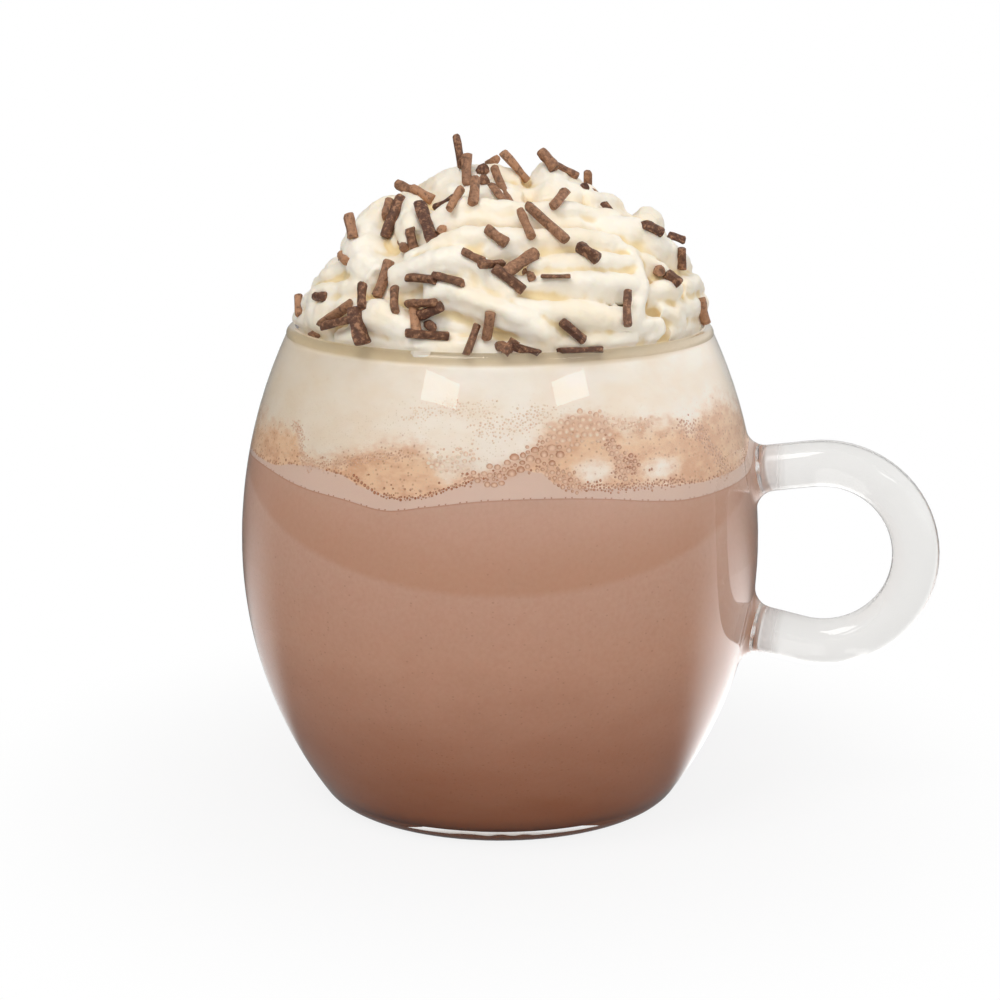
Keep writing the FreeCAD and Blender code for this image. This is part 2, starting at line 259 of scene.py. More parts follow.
class Graph:
    """Node graph of one material, or of the world."""

    def __init__(self, name: str, owner: bpy.types.World | None = None) -> None:
        """Start an empty graph.

        Args:
            name: Name of the material.
            owner: The world, where the graph isn't a material's.
        """
        self.material = owner or bpy.data.materials.new(name)
        self.material.use_nodes = True
        self.nodes = self.material.node_tree.nodes
        self.links = self.material.node_tree.links
        self.nodes.clear()

    def node(self, kind: str, settings: dict[str, object], inputs: dict[object, object]) -> bpy.types.Node:
        """Add a node, set it up and fill its sockets.

        Args:
            kind: Type of the node.
            settings: Properties, set first; "stops" are a colour ramp's positions and colours.
            inputs: Socket name or number to a number, a colour, a vector, a socket or a channel.

        Returns:
            The node.
        """
        node = self.nodes.new(kind)
        for key, value in settings.items():
            if key == "stops":
                self.set_stops(node, value)
            else:
                setattr(node, key, value)
        for key, value in inputs.items():
            source = getattr(value, "socket", value)
            if isinstance(source, bpy.types.NodeSocket):
                self.links.new(source, node.inputs[key])
            else:
                node.inputs[key].default_value = source
        return node

    @staticmethod
    def set_stops(node: bpy.types.Node, stops: list[tuple[float, tuple[float, ...]]]) -> None:
        """Write the stops of a colour ramp.

        Args:
            node: The ramp.
            stops: Position and colour of each stop.
        """
        elements = node.color_ramp.elements
        while len(elements) < len(stops):
            elements.new(1.0)
        for element, (position, colour) in zip(elements, stops):
            element.position = position
            element.color = colour

    def place(self) -> bpy.types.NodeSocket:
        """Object coordinates, in metres."""
        return self.node("ShaderNodeTexCoord", {}, {}).outputs["Object"]

    def part(self, vector: object, axis: str) -> Channel:
        """One coordinate of a vector."""
        return Channel(self, self.node("ShaderNodeSeparateXYZ", {}, {0: vector}).outputs[axis])

    def moved(self, vector: object, scale: tuple[float, float, float],
              offset: tuple[float, float, float] = (0.0, 0.0, 0.0)) -> bpy.types.NodeSocket:
        """Scaled and shifted coordinates.

        Args:
            vector: Socket of the coordinates.
            scale: Factor on each axis.
            offset: Shift after scaling.

        Returns:
            The new coordinates.
        """
        node = self.node("ShaderNodeMapping", {}, {"Vector": vector, "Scale": scale, "Location": offset})
        return node.outputs["Vector"]

    def length(self, vector: object) -> Channel:
        """Length of a vector."""
        node = self.node("ShaderNodeVectorMath", {"operation": "LENGTH"}, {0: vector})
        return Channel(self, node.outputs["Value"])

    def along(self, vector: object, direction: Vector) -> Channel:
        """How far a vector reaches along a direction.

        Args:
            vector: Socket of the vector.
            direction: The direction, whose length scales the result.

        Returns:
            The dot product.
        """
        node = self.node("ShaderNodeVectorMath", {"operation": "DOT_PRODUCT"}, {0: vector, 1: direction})
        return Channel(self, node.outputs["Value"])

    def clouds(self, vector: object, size: float, detail: float = 3.0, roughness: float = 0.5) -> Channel:
        """Soft noise around 0.5.

        Args:
            vector: Socket of coordinates in metres.
            size: Width of one cloud in millimetres.
            detail: Octaves.
            roughness: Weight of the fine octaves.

        Returns:
            The noise.
        """
        node = self.node("ShaderNodeTexNoise", {}, {
            "Vector": vector, "Scale": 1 / (size * MM), "Detail": detail, "Roughness": roughness})
        return Channel(self, node.outputs["Fac"])

    def cells(self, vector: object, size: float) -> bpy.types.Node:
        """Voronoi cells.

        Args:
            vector: Socket of coordinates in metres.
            size: Width of one cell in millimetres.

        Returns:
            The node.
        """
        return self.node("ShaderNodeTexVoronoi", {}, {"Vector": vector, "Scale": 1 / (size * MM)})

    def note(self, name: str) -> Channel:
        """Number stored on the mesh under a name."""
        return Channel(self, self.node("ShaderNodeAttribute", {"attribute_name": name}, {}).outputs["Fac"])

    def blend(self, share: object, first: object, second: object) -> bpy.types.NodeSocket:
        """Mix two colours.

        Args:
            share: Share of the second colour.
            first: Colour or socket.
            second: Colour or socket.

        Returns:
            The mixed colour.
        """
        node = self.node("ShaderNodeMix", {"data_type": "RGBA"}, {0: share, 6: first, 7: second})
        return node.outputs[2]

    def relief(self, height: object, depth: float) -> bpy.types.NodeSocket:
        """Bump from a height.

        Args:
            height: Channel of the height, 0 to 1.
            depth: Height of 1, in millimetres.

        Returns:
            The bumped normal.
        """
        node = self.node("ShaderNodeBump", {}, {"Height": height, "Distance": depth * MM, "Strength": 1.0})
        return node.outputs["Normal"]

    def principled(self, **inputs: object) -> bpy.types.NodeSocket:
        """Add a Principled shader.

        Args:
            **inputs: Its sockets, with _ for a space.

        Returns:
            The shader.
        """
        sockets = {key.replace("_", " "): value for key, value in inputs.items()}
        return self.node("ShaderNodeBsdfPrincipled", {}, sockets).outputs[0]

    def mixed(self, share: object, first: bpy.types.NodeSocket,
              second: bpy.types.NodeSocket) -> bpy.types.NodeSocket:
        """Mix two shaders.

        Args:
            share: Share of the second shader.
            first: Shader.
            second: Shader.

        Returns:
            The mixed shader.
        """
        return self.node("ShaderNodeMixShader", {}, {0: share, 1: first, 2: second}).outputs[0]

    def close(self, shader: bpy.types.NodeSocket) -> bpy.types.Material:
        """Send a shader to the material's output and give back the material."""
        self.node("ShaderNodeOutputMaterial", {}, {"Surface": shader})
        return self.material

    def surface(self, **inputs: object) -> bpy.types.Material:
        """Close the material with one Principled shader; inputs are its sockets, with _ for a space."""
        return self.close(self.principled(**inputs))


# ------------------------------------------------------------------ finishes

@dataclass(frozen=True)
class ClearGlass:
    """Blown glass: clear, smooth, with the faint waves of its making.

    The solid handle is greyer and a little hazy, most of all where it is welded on, and the
    foot of the glass is painted darker, a painted shadow where the mug stands.  Pairs are the two
    ends of a fade, in millimetres: out from the start of the handle, or up from the underside.
    """

    tint: str = "ffffff"
    handle_tint: str = "f0efed"
    weld_tint: str = "d9d1cc"
    haze_tint: str = "f6f5f3"
    foot_shadow_tint: str = "8f7a5f"
    handle_start: float = 45.2
    handle_fade: tuple[float, float] = (0.0, 4.0)
    weld_rise: tuple[float, float] = (-0.2, 0.8)
    weld_fall: tuple[float, float] = (6.0, 1.5)
    foot_shadow_fade: tuple[float, float] = (3.0, 1.0)
    weld_share: float = 0.42
    haze_share: float = 0.13
    foot_shadow_share: float = 0.8
    haze_roughness: float = 0.25
    index: float = 1.45
    wave_size: float = 9.0
    wave_depth: float = 0.012

    def fade(self, out: Channel, ends: tuple[float, float]) -> Channel:
        """Fade by the distance beyond the start of the handle."""
        return out.step_mm(self.handle_start + ends[0], self.handle_start + ends[1])

    def make(self) -> bpy.types.Material:
        """Build the material.

        Returns:
            The material.
        """
        graph = Graph("glass_blown")
        place = graph.place()
        waves = graph.clouds(place, self.wave_size, detail=1.0)
        out = graph.length(graph.moved(place, (1.0, 1.0, 0.0)))
        handle = self.fade(out, self.handle_fade)
        weld = self.fade(out, self.weld_rise) * self.fade(out, self.weld_fall)
        colour = graph.blend(handle, paint(self.tint), paint(self.handle_tint))
        # Painted shadow: the foot of the glass turns dark where the mug stands on the floor.
        foot = graph.part(place, "Z").step_mm(*self.foot_shadow_fade)
        colour = graph.blend(foot * self.foot_shadow_share, colour, paint(self.foot_shadow_tint))
        clear = graph.principled(Base_Color=colour, Roughness=0.0, IOR=self.index,
                                 Transmission_Weight=1.0, Normal=graph.relief(waves, self.wave_depth))
        tint = graph.blend(weld, paint(self.haze_tint), paint(self.weld_tint))
        cloudy = graph.principled(Base_Color=tint, Roughness=self.haze_roughness, Specular_IOR_Level=0.2)
        haze = (weld * self.weld_share).highest(handle * self.haze_share)
        return graph.close(graph.mixed(haze, clear, cloudy))


@dataclass(frozen=True)
class MilkyCoffee:
    """Milky chocolate coffee: paler at its surface and darker towards the bottom, a painted shade of light
    from above.

    A warmer, darker crescent of painted shade hangs from its surface at the front.  crescent_low is
    where it meets the surface at the sides and crescent_dip how far it hangs lower at the front.
    """

    surface_colour: str = "d4b09d"
    middle_colour: str = "cea188"
    dark_and_shade_colour: str = "a15d35"
    # Bottom of the painted shade, and also the colour of the grain and of the line at the surface.
    speck_colour: str = "7a4a30"
    crescent_shade_colour: str = "c08b68"
    middle_share: float = 0.55
    cloud_size: float = 14.0
    cloud_sway: float = 0.16
    grain_size: float = 0.7
    grain_share: float = 0.25
    edge_width: float = 0.55
    edge_share: float = 0.45
    speck_size: float = 0.8
    speck_share: float = 0.25
    crescent_low: float = 61.0
    crescent_dip: float = 16.0
    crescent_edge: tuple[float, float] = (-0.4, 1.2)
    crescent_fade: tuple[float, float] = (15.0, 2.0)
    crescent_shade_share: float = 0.42

    def make(self, low: float, high: float) -> bpy.types.Material:
        """Build the material.

        Args:
            low: Height of the bottom of the drink, in metres.
            high: Height of its surface.

        Returns:
            The material.
        """
        graph = Graph("mocha_milky")
        place = graph.place()
        height = graph.part(place, "Z")
        swirl = graph.clouds(graph.moved(place, (1.0, 1.0, 2.2)), self.cloud_size, detail=4.0)
        depth = (height - low) / (high - low) + (swirl - 0.5) * self.cloud_sway
        # Painted shade: the ramp runs from pale at the surface to darker towards the bottom.
        ramp = graph.node("ShaderNodeValToRGB", {"stops": [
            (0.0, paint(self.dark_and_shade_colour)), (self.middle_share, paint(self.middle_colour)),
            (1.0, paint(self.surface_colour))]}, {"Fac": depth})
        grain = (graph.clouds(place, self.grain_size, detail=2.0) - 0.35) * self.grain_share
        colour = graph.blend(grain, ramp.outputs["Color"], paint(self.dark_and_shade_colour))
        edge = graph.note("depth").step(self.edge_width, 0.1)
        colour = graph.blend(edge * self.edge_share, colour, paint(self.dark_and_shade_colour))
        # Painted shade: a darker crescent that hangs from the surface at the front.
        above = height - self.crescent_low * MM + graph.along(place, self.hang())
        crescent_shade = above.step_mm(*self.crescent_edge) * (above.step_mm(*self.crescent_fade) * 0.75 + 0.25)
        colour = graph.blend(crescent_shade * self.crescent_shade_share, colour, paint(self.crescent_shade_colour))
        cells = graph.cells(graph.moved(place, (1.0, 1.0, 1.3)), self.speck_size)
        chosen = graph.part(cells.outputs["Color"], "X") - depth * 0.45
        specks = Channel(graph, cells.outputs["Distance"]).step(0.3, 0.12) * chosen.step(0.5, 0.66)
        colour = graph.blend(specks * self.speck_share, colour, paint(self.speck_colour))
        return graph.surface(Base_Color=colour, Roughness=0.5, Specular_IOR_Level=0.0, Subsurface_Weight=0.2,
                             Subsurface_Radius=(0.9, 0.45, 0.3), Subsurface_Scale=2.0 * MM)

    def hang(self) -> Vector:
        """Level vector to the front whose dot product with a place is how low the crescent hangs."""
        return on_round(0.0, self.crescent_dip / BARREL.belly_radius, 0.0) / MM


@dataclass(frozen=True)
class FrothFinish:
    """Milk froth against glass: white foam, tan pools, specks and fine bubbles.

    The mesh carries the broad zones as numbers: tan pools, pale milk under the bubbles, the
    darker tan of painted shade at the left side and under the lip, with a darker tan behind as well,
    the nearness of packed bubbles and the share of specks.
    """

    white: str = "fef5e9"
    shade: str = "faecda"
    milk: str = "e3c8b7"
    pool: str = "efc9a3"
    deep_pool: str = "dfae88"
    # Painted shade: darker tan laid by the thin number at the left side and under the lip, and behind.
    thin: str = "d4c09d"
    speck: str = "b98a6c"
    pinhole: str = "dccbb0"
    web: str = "e3bda2"
    ragged_size: float = 2.4
    soft_size: float = 8.0
    pool_share: float = 0.9
    web_share: float = 0.6
    pinhole_size: float = 0.42
    pinhole_share: float = 0.55
    speck_size: float = 0.7
    speck_share: float = 0.6

    def make(self, name: str) -> bpy.types.Material:
        """Build the material.

        Args:
            name: Name of the material.

        Returns:
            The material.
        """
        graph = Graph(name)
        place = graph.place()
        ragged = graph.clouds(graph.moved(place, (1.0, 1.0, 1.7)), self.ragged_size, 5.0, 0.62)
        soft = graph.clouds(graph.moved(place, (1.0, 1.0, 1.6)), self.soft_size)
        tan = (graph.note("tan") + (ragged - 0.5) * 0.8 + (soft - 0.5) * 0.25).step(0.18, 0.82)
        milk = (graph.note("milk") + (ragged - 0.5) * 0.25).step(0.4, 0.6)
        white = graph.blend(soft.step(0.35, 0.7), paint(self.white), paint(self.shade))
        # Painted shade: the thin number darkens the foam at the left side and under the lip.
        white = graph.blend(graph.note("thin") + (ragged - 0.5) * 0.15, white, paint(self.thin))
        deep = (ragged * 0.6 + soft * 0.4).step(0.42, 0.62)
        pool = graph.blend(deep, paint(self.pool), paint(self.deep_pool))
        colour = graph.blend(tan * self.pool_share, white, pool)
        colour = graph.blend(milk, colour, paint(self.milk))
        colour = graph.blend(graph.note("web") * self.web_share, colour, paint(self.web))
        spots = graph.note("speck")
        colour = self.dotted(graph, colour, self.pinhole_size, spots, self.pinhole_share, self.pinhole)
        colour = self.dotted(graph, colour, self.speck_size, spots * tan * 1.3, self.speck_share, self.speck)
        return graph.surface(Base_Color=colour, Roughness=0.6, Specular_IOR_Level=0.0, Subsurface_Weight=0.2,
                             Subsurface_Radius=(1.0, 0.8, 0.6), Subsurface_Scale=1.2 * MM,
                             Normal=graph.relief(ragged, 0.12))

    @staticmethod
    def dotted(graph: Graph, colour: object, size: float, share: Channel, weight: float,
               code: str) -> bpy.types.NodeSocket:
        """Lay small round dots over a colour.

        Args:
            graph: The material's graph.
            colour: Colour underneath.
            size: Spacing of the dots in millimetres.
            share: How many of the places hold a dot, 0 to 1.
            weight: How strong a dot is.
            code: The dots' colour.

        Returns:
            The dotted colour.
        """
        cells = graph.cells(graph.place(), size)
        shape = Channel(graph, cells.outputs["Distance"]).step(0.34, 0.14)
        chosen = (graph.part(cells.outputs["Color"], "X") + share).step(0.96, 1.08)
        return graph.blend(shape * chosen * weight, colour, paint(code))


@dataclass(frozen=True)
class CreamFinish:
    """Whipped cream: warm white, soft and a little moist, with a yellow painted shade in its folds."""

    light: str = "fdf3e3"
    patch: str = "fae8cb"
    # Painted shade: yellow laid into the creases.
    fold: str = "edd5a0"
    patch_size: float = 9.0
    patch_share: float = 0.6
    crease_shade_share: float = 0.85
    grain_size: float = 0.8
    grain_depth: float = 0.08

    def make(self) -> bpy.types.Material:
        """Build the material.

        Returns:
            The material.
        """
        graph = Graph("cream_whipped")
        place = graph.place()
        patches = graph.clouds(place, self.patch_size).step(0.42, 0.66)
        grain = graph.clouds(place, self.grain_size, roughness=0.6)
        colour = graph.blend(patches * self.patch_share, paint(self.light), paint(self.patch))
        # Painted shade: the deeper a crease, the more of the yellow fold colour.
        crease_shade = graph.note("crease").step(0.0, 1.0)
        colour = graph.blend(crease_shade * self.crease_shade_share, colour, paint(self.fold))
        return graph.surface(Base_Color=colour, Roughness=0.45, Subsurface_Weight=0.25,
                             Subsurface_Radius=(1.0, 0.75, 0.5), Subsurface_Scale=1.2 * MM,
                             Specular_IOR_Level=0.3, Normal=graph.relief(grain, self.grain_depth))


@dataclass(frozen=True)
class BubbleFinish:
    """Bubbles at the glass: reddish brown cells, pale ones, and those in the white foam.

    The mesh carries their tone: 0 dark, 1 pale, and foam above that.
    """

    dark: str = "b4734e"
    light: str = "eccbb0"
    foam: str = "f6e8d3"
    foam_tone: tuple[float, float] = (1.0, 1.9)

    def make(self) -> bpy.types.Material:
        """Build the material.

        Returns:
            The material.
        """
        graph = Graph("bubble_skin")
        mottle = graph.clouds(graph.place(), 0.5, detail=2.0)
        tone = graph.note("tone") + (mottle - 0.5) * 0.5
        colour = graph.blend(tone, paint(self.dark), paint(self.light))
        colour = graph.blend(tone.step(*self.foam_tone), colour, paint(self.foam))
        return graph.surface(Base_Color=colour, Roughness=0.4, Specular_IOR_Level=0.1)


@dataclass(frozen=True)
class Chocolate:
    """Milk chocolate sprinkles: matt, rough, with a pale bloom on the ridges."""

    body: str = "5a3727"
    bloom: str = "c4926e"
    pit: str = "402a1e"
    mottle_share: float = 0.6
    grain_depth: float = 0.34

    def make(self) -> bpy.types.Material:
        """Build the material.

        Returns:
            The material.
        """
        graph = Graph("sprinkle_chocolate")
        place = graph.place()
        coarse = graph.clouds(place, 0.8, detail=4.0, roughness=0.7)
        fine = graph.clouds(place, 0.25, roughness=0.65)
        colour = graph.blend(graph.note("tone") * 0.9, paint(self.body), paint(self.bloom))
        colour = graph.blend(coarse.step(0.5, 0.64) * self.mottle_share, colour, paint(self.bloom))
        colour = graph.blend(coarse.step(0.48, 0.36) * self.mottle_share, colour, paint(self.pit))
        return graph.surface(Base_Color=colour, Roughness=0.5, Specular_IOR_Level=0.4,
                             Normal=graph.relief(coarse * 0.65 + fine * 0.35, self.grain_depth))


# ------------------------------------------------------------------ measures

def box_side(node: str, corner: int, axis: str) -> float:
    """One side of a CAD node's box.

    Args:
        node: The node.
        corner: 0 for the lowest corner, 1 for the highest.
        axis: x, y or z.

    Returns:
        Its place in millimetres, to a hundredth.
    """
    return round(getattr(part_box(node)[corner], axis) / MM, 2)


@dataclass(frozen=True)
class Barrel:
    """Inside of the glass, in millimetres, as a radius for each height.

    The widest place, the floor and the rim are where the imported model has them; between them
    the wall runs in two arcs that meet at the belly.
    """

    belly_radius: float = box_side("mug", 1, "y")
    belly_height: float = 44.4
    lower_arc: float = 74.5
    upper_arc: float = 86.0
    wall: float = 2.2
    clearance: float = 0.05
    floor: float = round(box_side("mocha", 0, "z") - clearance, 2)
    corner: float = 6.0
    rim: float = box_side("mug", 1, "z")
    reach: float = 0.15

    def wall_radius(self, height: float) -> float:
        """Radius just inside the glass wall, above the corner at the floor.

        Args:
            height: Height above the underside.

        Returns:
            The radius, with the reach into the wall.
        """
        arc = self.upper_arc if height > self.belly_height else self.lower_arc
        inner = arc - self.wall + self.reach
        return self.belly_radius - arc + math.sqrt(inner ** 2 - (height - self.belly_height) ** 2)

    def corner_centre(self) -> tuple[float, float]:
        """Find the centre of the rounded corner at the floor.

        Returns:
            Its radius and height.
        """
        height = self.floor + self.corner
        spread = self.lower_arc - self.wall - self.corner
        run = math.sqrt(spread ** 2 - (height - self.belly_height) ** 2)
        return self.belly_radius - self.lower_arc + run, height

    def corner_point(self, share: float) -> tuple[float, float]:
        """Point on the rounded corner.

        Args:
            share: 0 at the floor, 1 at the wall.

        Returns:
            Radius and height.
        """
        radius, height = self.corner_centre()
        rise = math.asin((height - self.belly_height) / (self.lower_arc - self.wall - self.corner))
        turn = -math.pi / 2 + share * (math.pi / 2 + rise)
        size = self.corner + self.reach
        return radius + size * math.cos(turn), height + size * math.sin(turn)


@dataclass(frozen=True)
class Viewpoint:
    """Where the mug is looked at from, and from where its topping was laid out."""

    azimuth: float = 10.0
    elevation: float = 14.2
    distance: float = 365.0
    middle: float = 41.3
    lens: float = 74.6
    raise_aim: float = 1.61

    def toward(self) -> Vector:
        """Unit vector from the mug to the eye."""
        turn, tilt = math.radians(self.azimuth), math.radians(self.elevation)
        return Vector((math.sin(turn) * math.cos(tilt), -math.cos(turn) * math.cos(tilt), math.sin(tilt)))

    def eye(self) -> Vector:
        """Position of the eye, in metres."""
        return (self.toward() * self.distance + Vector((0.0, 0.0, self.middle))) * MM

    def across(self) -> Vector:
        """Unit vector to the right, level."""
        turn = math.radians(self.azimuth)
        return Vector((math.cos(turn), math.sin(turn), 0.0))

    def front_bearing(self) -> float:
        """Bearing of the front of the mug, in degrees from +X."""
        return self.azimuth - 90.0


BARREL = Barrel()
VIEW = Viewpoint()


def on_round(bearing: float, radius: float, height: float) -> Vector:
    """Point at a bearing, radius and height.

    Args:
        bearing: Degrees to the right of the front.
        radius: Millimetres from the axis.
        height: Millimetres above the underside.

    Returns:
        The point in metres.
    """
    angle = math.radians(bearing + VIEW.front_bearing())
    return Vector((radius * math.cos(angle), radius * math.sin(angle), height)) * MM


def bearing_of(point: Vector) -> float:
    """Degrees to the right of the front, from -180 to 180."""
    turn = math.degrees(math.atan2(point.y, point.x)) - VIEW.front_bearing()
    return (turn + 180) % 360 - 180


@dataclass(frozen=True)
class Shore:
    """A wavy line round the glass, as a sum of waves about a level.

    waves holds the count round the mug, the height in millimetres and the phase in degrees
    from +X.
    """

    level: float
    waves: tuple[tuple[int, float, float], ...]

    def height(self, bearing: float) -> float:
        """Height of the line at a bearing.

        Args:
            bearing: Degrees to the right of the front.

        Returns:
            Height in millimetres.
        """
        turn = bearing + VIEW.front_bearing()
        return self.level + sum(size * math.cos(math.radians(count * turn - phase))
                                for count, size, phase in self.waves)


class Ease(Enum):
    """How a line runs between two of its marks."""

    LEVELLED = "level at every mark"
    FLOWING = "through the marks without a stop"


@dataclass(frozen=True)
class Coast:
    """A line round the glass through marks of bearing and height."""

    marks: tuple[tuple[float, float], ...]
    ease: Ease = Ease.LEVELLED

    def mark(self, number: int) -> tuple[float, float]:
        """Mark by its number, counted on round the mug."""
        turns, place = divmod(number, len(self.marks))
        return self.marks[place][0] + 360 * turns, self.marks[place][1]

    def height(self, bearing: float) -> float:
        """Height at a bearing, between the marks on either side.

        Args:
            bearing: Degrees to the right of the front.

        Returns:
            Height in millimetres.
        """
        turn = (bearing + 180) % 360 - 180
        after = sum(mark[0] <= turn for mark in self.marks)
        before, left, right, beyond = (self.mark(after + step) for step in (-2, -1, 0, 1))
        width = right[0] - left[0]
        share = (turn - left[0]) / width
        eased = smooth_step(0.0, 1.0, share)
        height = left[1] + (right[1] - left[1]) * eased
        if self.ease is Ease.FLOWING:
            leaving = (right[1] - before[1]) / (right[0] - before[0]) * width
            arriving = (beyond[1] - left[1]) / (beyond[0] - left[0]) * width
            height += share * (1 - share) * (leaving * (1 - share) - arriving * share)
        return height


DRINK_LEVEL = 60.2
DRINK_SHORE = Coast((
    (-165, 59.9), (-141, 61.0), (-110, 59.9), (-85, 61.2), (-66, 61.4), (-48, 60.2), (-36, 59.7), (-25, 58.8),
    (-16, 59.8), (-4, 61.0), (10, 61.3), (22, 60.8), (34, 59.6), (44, 58.8), (60, 58.7), (80, 58.9),
    (100, 58.4), (120, 58.9), (148, 60.4), (178, 59.5)), Ease.FLOWING)
FROTH_SHORE = Shore(68.4, (
    (1, 1.2, 170.0), (2, 1.3, -40.0), (3, 1.5, -140.0), (5, 1.1, -87.0), (6, 1.5, 40.0)))
BUBBLE_SHORE = Coast((
    (-165, 63.5), (-140, 65.5), (-115, 62.5), (-90, 62), (-62, 62), (-52, 63.2), (-46, 63.6), (-38, 63.2),
    (-30, 61.6), (-23, 60.6), (-16, 61.2), (-10, 62.8), (-4, 64.2), (1, 64.8), (5, 65.4), (9, 65), (12, 63.2),
    (17, 62.4), (24, 62), (32, 61.8), (40, 61.2), (52, 60.6), (66, 60.6), (90, 62), (115, 64.5), (140, 62),
    (165, 61.5)))
TAN_SHORE = Coast((
    (-170, 66), (-150, 69.5), (-125, 66), (-100, 65.5), (-80, 67.5), (-62, 68), (-54, 68), (-50, 64.4),
    (-45, 64.2), (-38, 65.4), (-30, 67.4), (-22, 68.6), (-17, 68), (-12, 64.6), (-4, 65), (4, 66.8),
    (8, 69.2), (13, 72.0), (20, 73.1), (25, 71.8), (30, 70.7), (38, 70.9), (46, 70.3), (50, 69.2),
    (56, 70.7), (66, 71.6), (80, 69.5), (105, 66.5), (125, 69), (150, 67)))


# ------------------------------------------------------------------ what fills the glass

@dataclass
class Filling:
    """A turned body that fills the glass to the wall, closed at its two poles."""

    name: str
    columns: int = 240
    crease_angle: float = 35.0

    def turn(self, outline: list[Ring]) -> bpy.types.Object:
        """Shape a sphere's rings to an outline.

        Args:
            outline: The rings, from the bottom pole to the top.

        Returns:
            The closed body.
        """
        rings = len(outline) - 1
        bpy.ops.mesh.primitive_uv_sphere_add(segments=self.columns, ring_count=rings, radius=1.0)
        body = bpy.context.object
        body.name = self.name
        body.data.name = self.name
        for vertex in body.data.vertices:
            ring = round((1 - math.acos(max(-1.0, min(1.0, vertex.co.z))) / math.pi) * rings)
            bearing = bearing_of(vertex.co) if 0 < ring < rings else 0.0
            radius, height = outline[ring](bearing)
            vertex.co = on_round(bearing, radius, height)
        face_outwards(body)
        bpy.ops.object.shade_smooth_by_angle(angle=math.radians(self.crease_angle))
        return body

    @staticmethod
    def remember(body: bpy.types.Object, name: str, value_at: Callable[[float, float], float]) -> None:
        """Store a number on each point of a body.

        Args:
            body: The body.
            name: Name of the number.
            value_at: Function of bearing and height in millimetres.
        """
        values = [value_at(bearing_of(vertex.co), vertex.co.z / MM) for vertex in body.data.vertices]
        body.data.attributes.new(name, "FLOAT", "POINT").data.foreach_set("value", values)


def wall_ring(share: float, low: Line, high: Line) -> Ring:
    """Ring on the glass wall between two lines.

    Args:
        share: 0 on the low line, 1 on the high one.
        low: The lower line.
        high: The upper line.

    Returns:
        The ring.
    """
    def ring(bearing: float) -> tuple[float, float]:
        """Radius and height of the ring at a bearing."""
        height = low(bearing) + share * (high(bearing) - low(bearing))
        return BARREL.wall_radius(height), height
    return ring


def level_ring(share: float, edge: Line, centre: float, inset: float = 0.0) -> Ring:
    """Ring of a flat top or bottom that meets the wall at a wavy edge.

    Args:
        share: Share of the wall's radius.
        edge: Its line at the wall.
        centre: Height at the axis.
        inset: Millimetres taken off the radius.

    Returns:
        The ring.
    """
    def ring(bearing: float) -> tuple[float, float]:
        """Radius and height of the ring at a bearing."""
        height = centre + (edge(bearing) - centre) * share ** 2
        return max(0.0, BARREL.wall_radius(edge(bearing)) * share - inset), height
    return ring


@dataclass
class Drink:
    """Milky coffee, from the floor of the mug up to its wavy surface."""

    floor_rings: int = 5
    corner_rings: int = 8
    wall_rings: int = 70
    top_rings: int = 8

    def build(self) -> None:
        """Turn the drink and dress it."""
        floor = BARREL.floor - BARREL.reach
        corner_radius = BARREL.corner_centre()[0]
        foot = BARREL.corner_point(1.0)[1]
        outline: list[Ring] = [lambda bearing, share=step / self.floor_rings: (corner_radius * share, floor)
                               for step in range(self.floor_rings)]
        outline += [lambda bearing, share=step / self.corner_rings: BARREL.corner_point(share)
                    for step in range(self.corner_rings)]
        outline += [wall_ring(step / self.wall_rings, lambda bearing: foot, DRINK_SHORE.height)
                    for step in range(self.wall_rings + 1)]
        outline += [level_ring(1 - step / self.top_rings, DRINK_SHORE.height, DRINK_LEVEL)
                    for step in range(1, self.top_rings + 1)]
        body = Filling("mocha_drink").turn(outline)
        Filling.remember(body, "depth", lambda bearing, height: DRINK_SHORE.height(bearing) - height)
        body.data.materials.append(MilkyCoffee().make(floor * MM, DRINK_LEVEL * MM))
        declare(body, "mocha", "mocha")


@dataclass(frozen=True)
class Layer:
    """Froth or cream between two lines on the glass, in millimetres.

    Its flat bottom and top meet the wall on the two lines and the axis at the two levels.
    cap is how far the top stands above the upper line, and inset how far it keeps off the wall.
    """

    name: str
    foot: Line
    foot_level: float
    brim: Line
    brim_level: float
    wall_rings: int
    cap: float = 0.0
    inset: float = 0.04
    flat_rings: int = 6
    foot_inset: float = 0.04
    columns: int = 320

    def edge(self, bearing: float) -> float:
        """Height of the top at the wall."""
        return self.brim(bearing) + self.cap

    def build(self) -> bpy.types.Object:
        """Turn the layer.

        Returns:
            The closed body.
        """
        flat, wall = self.flat_rings, self.wall_rings
        outline = [level_ring(step / flat, self.foot, self.foot_level, self.foot_inset)
                   for step in range(flat)]
        outline += [wall_ring(step / wall, self.foot, self.brim) for step in range(wall + 1)]
        outline += [level_ring(1 - step / flat, self.edge, self.brim_level, self.inset)
                    for step in range(1, flat + 1)]
        return Filling(self.name, self.columns).turn(outline)


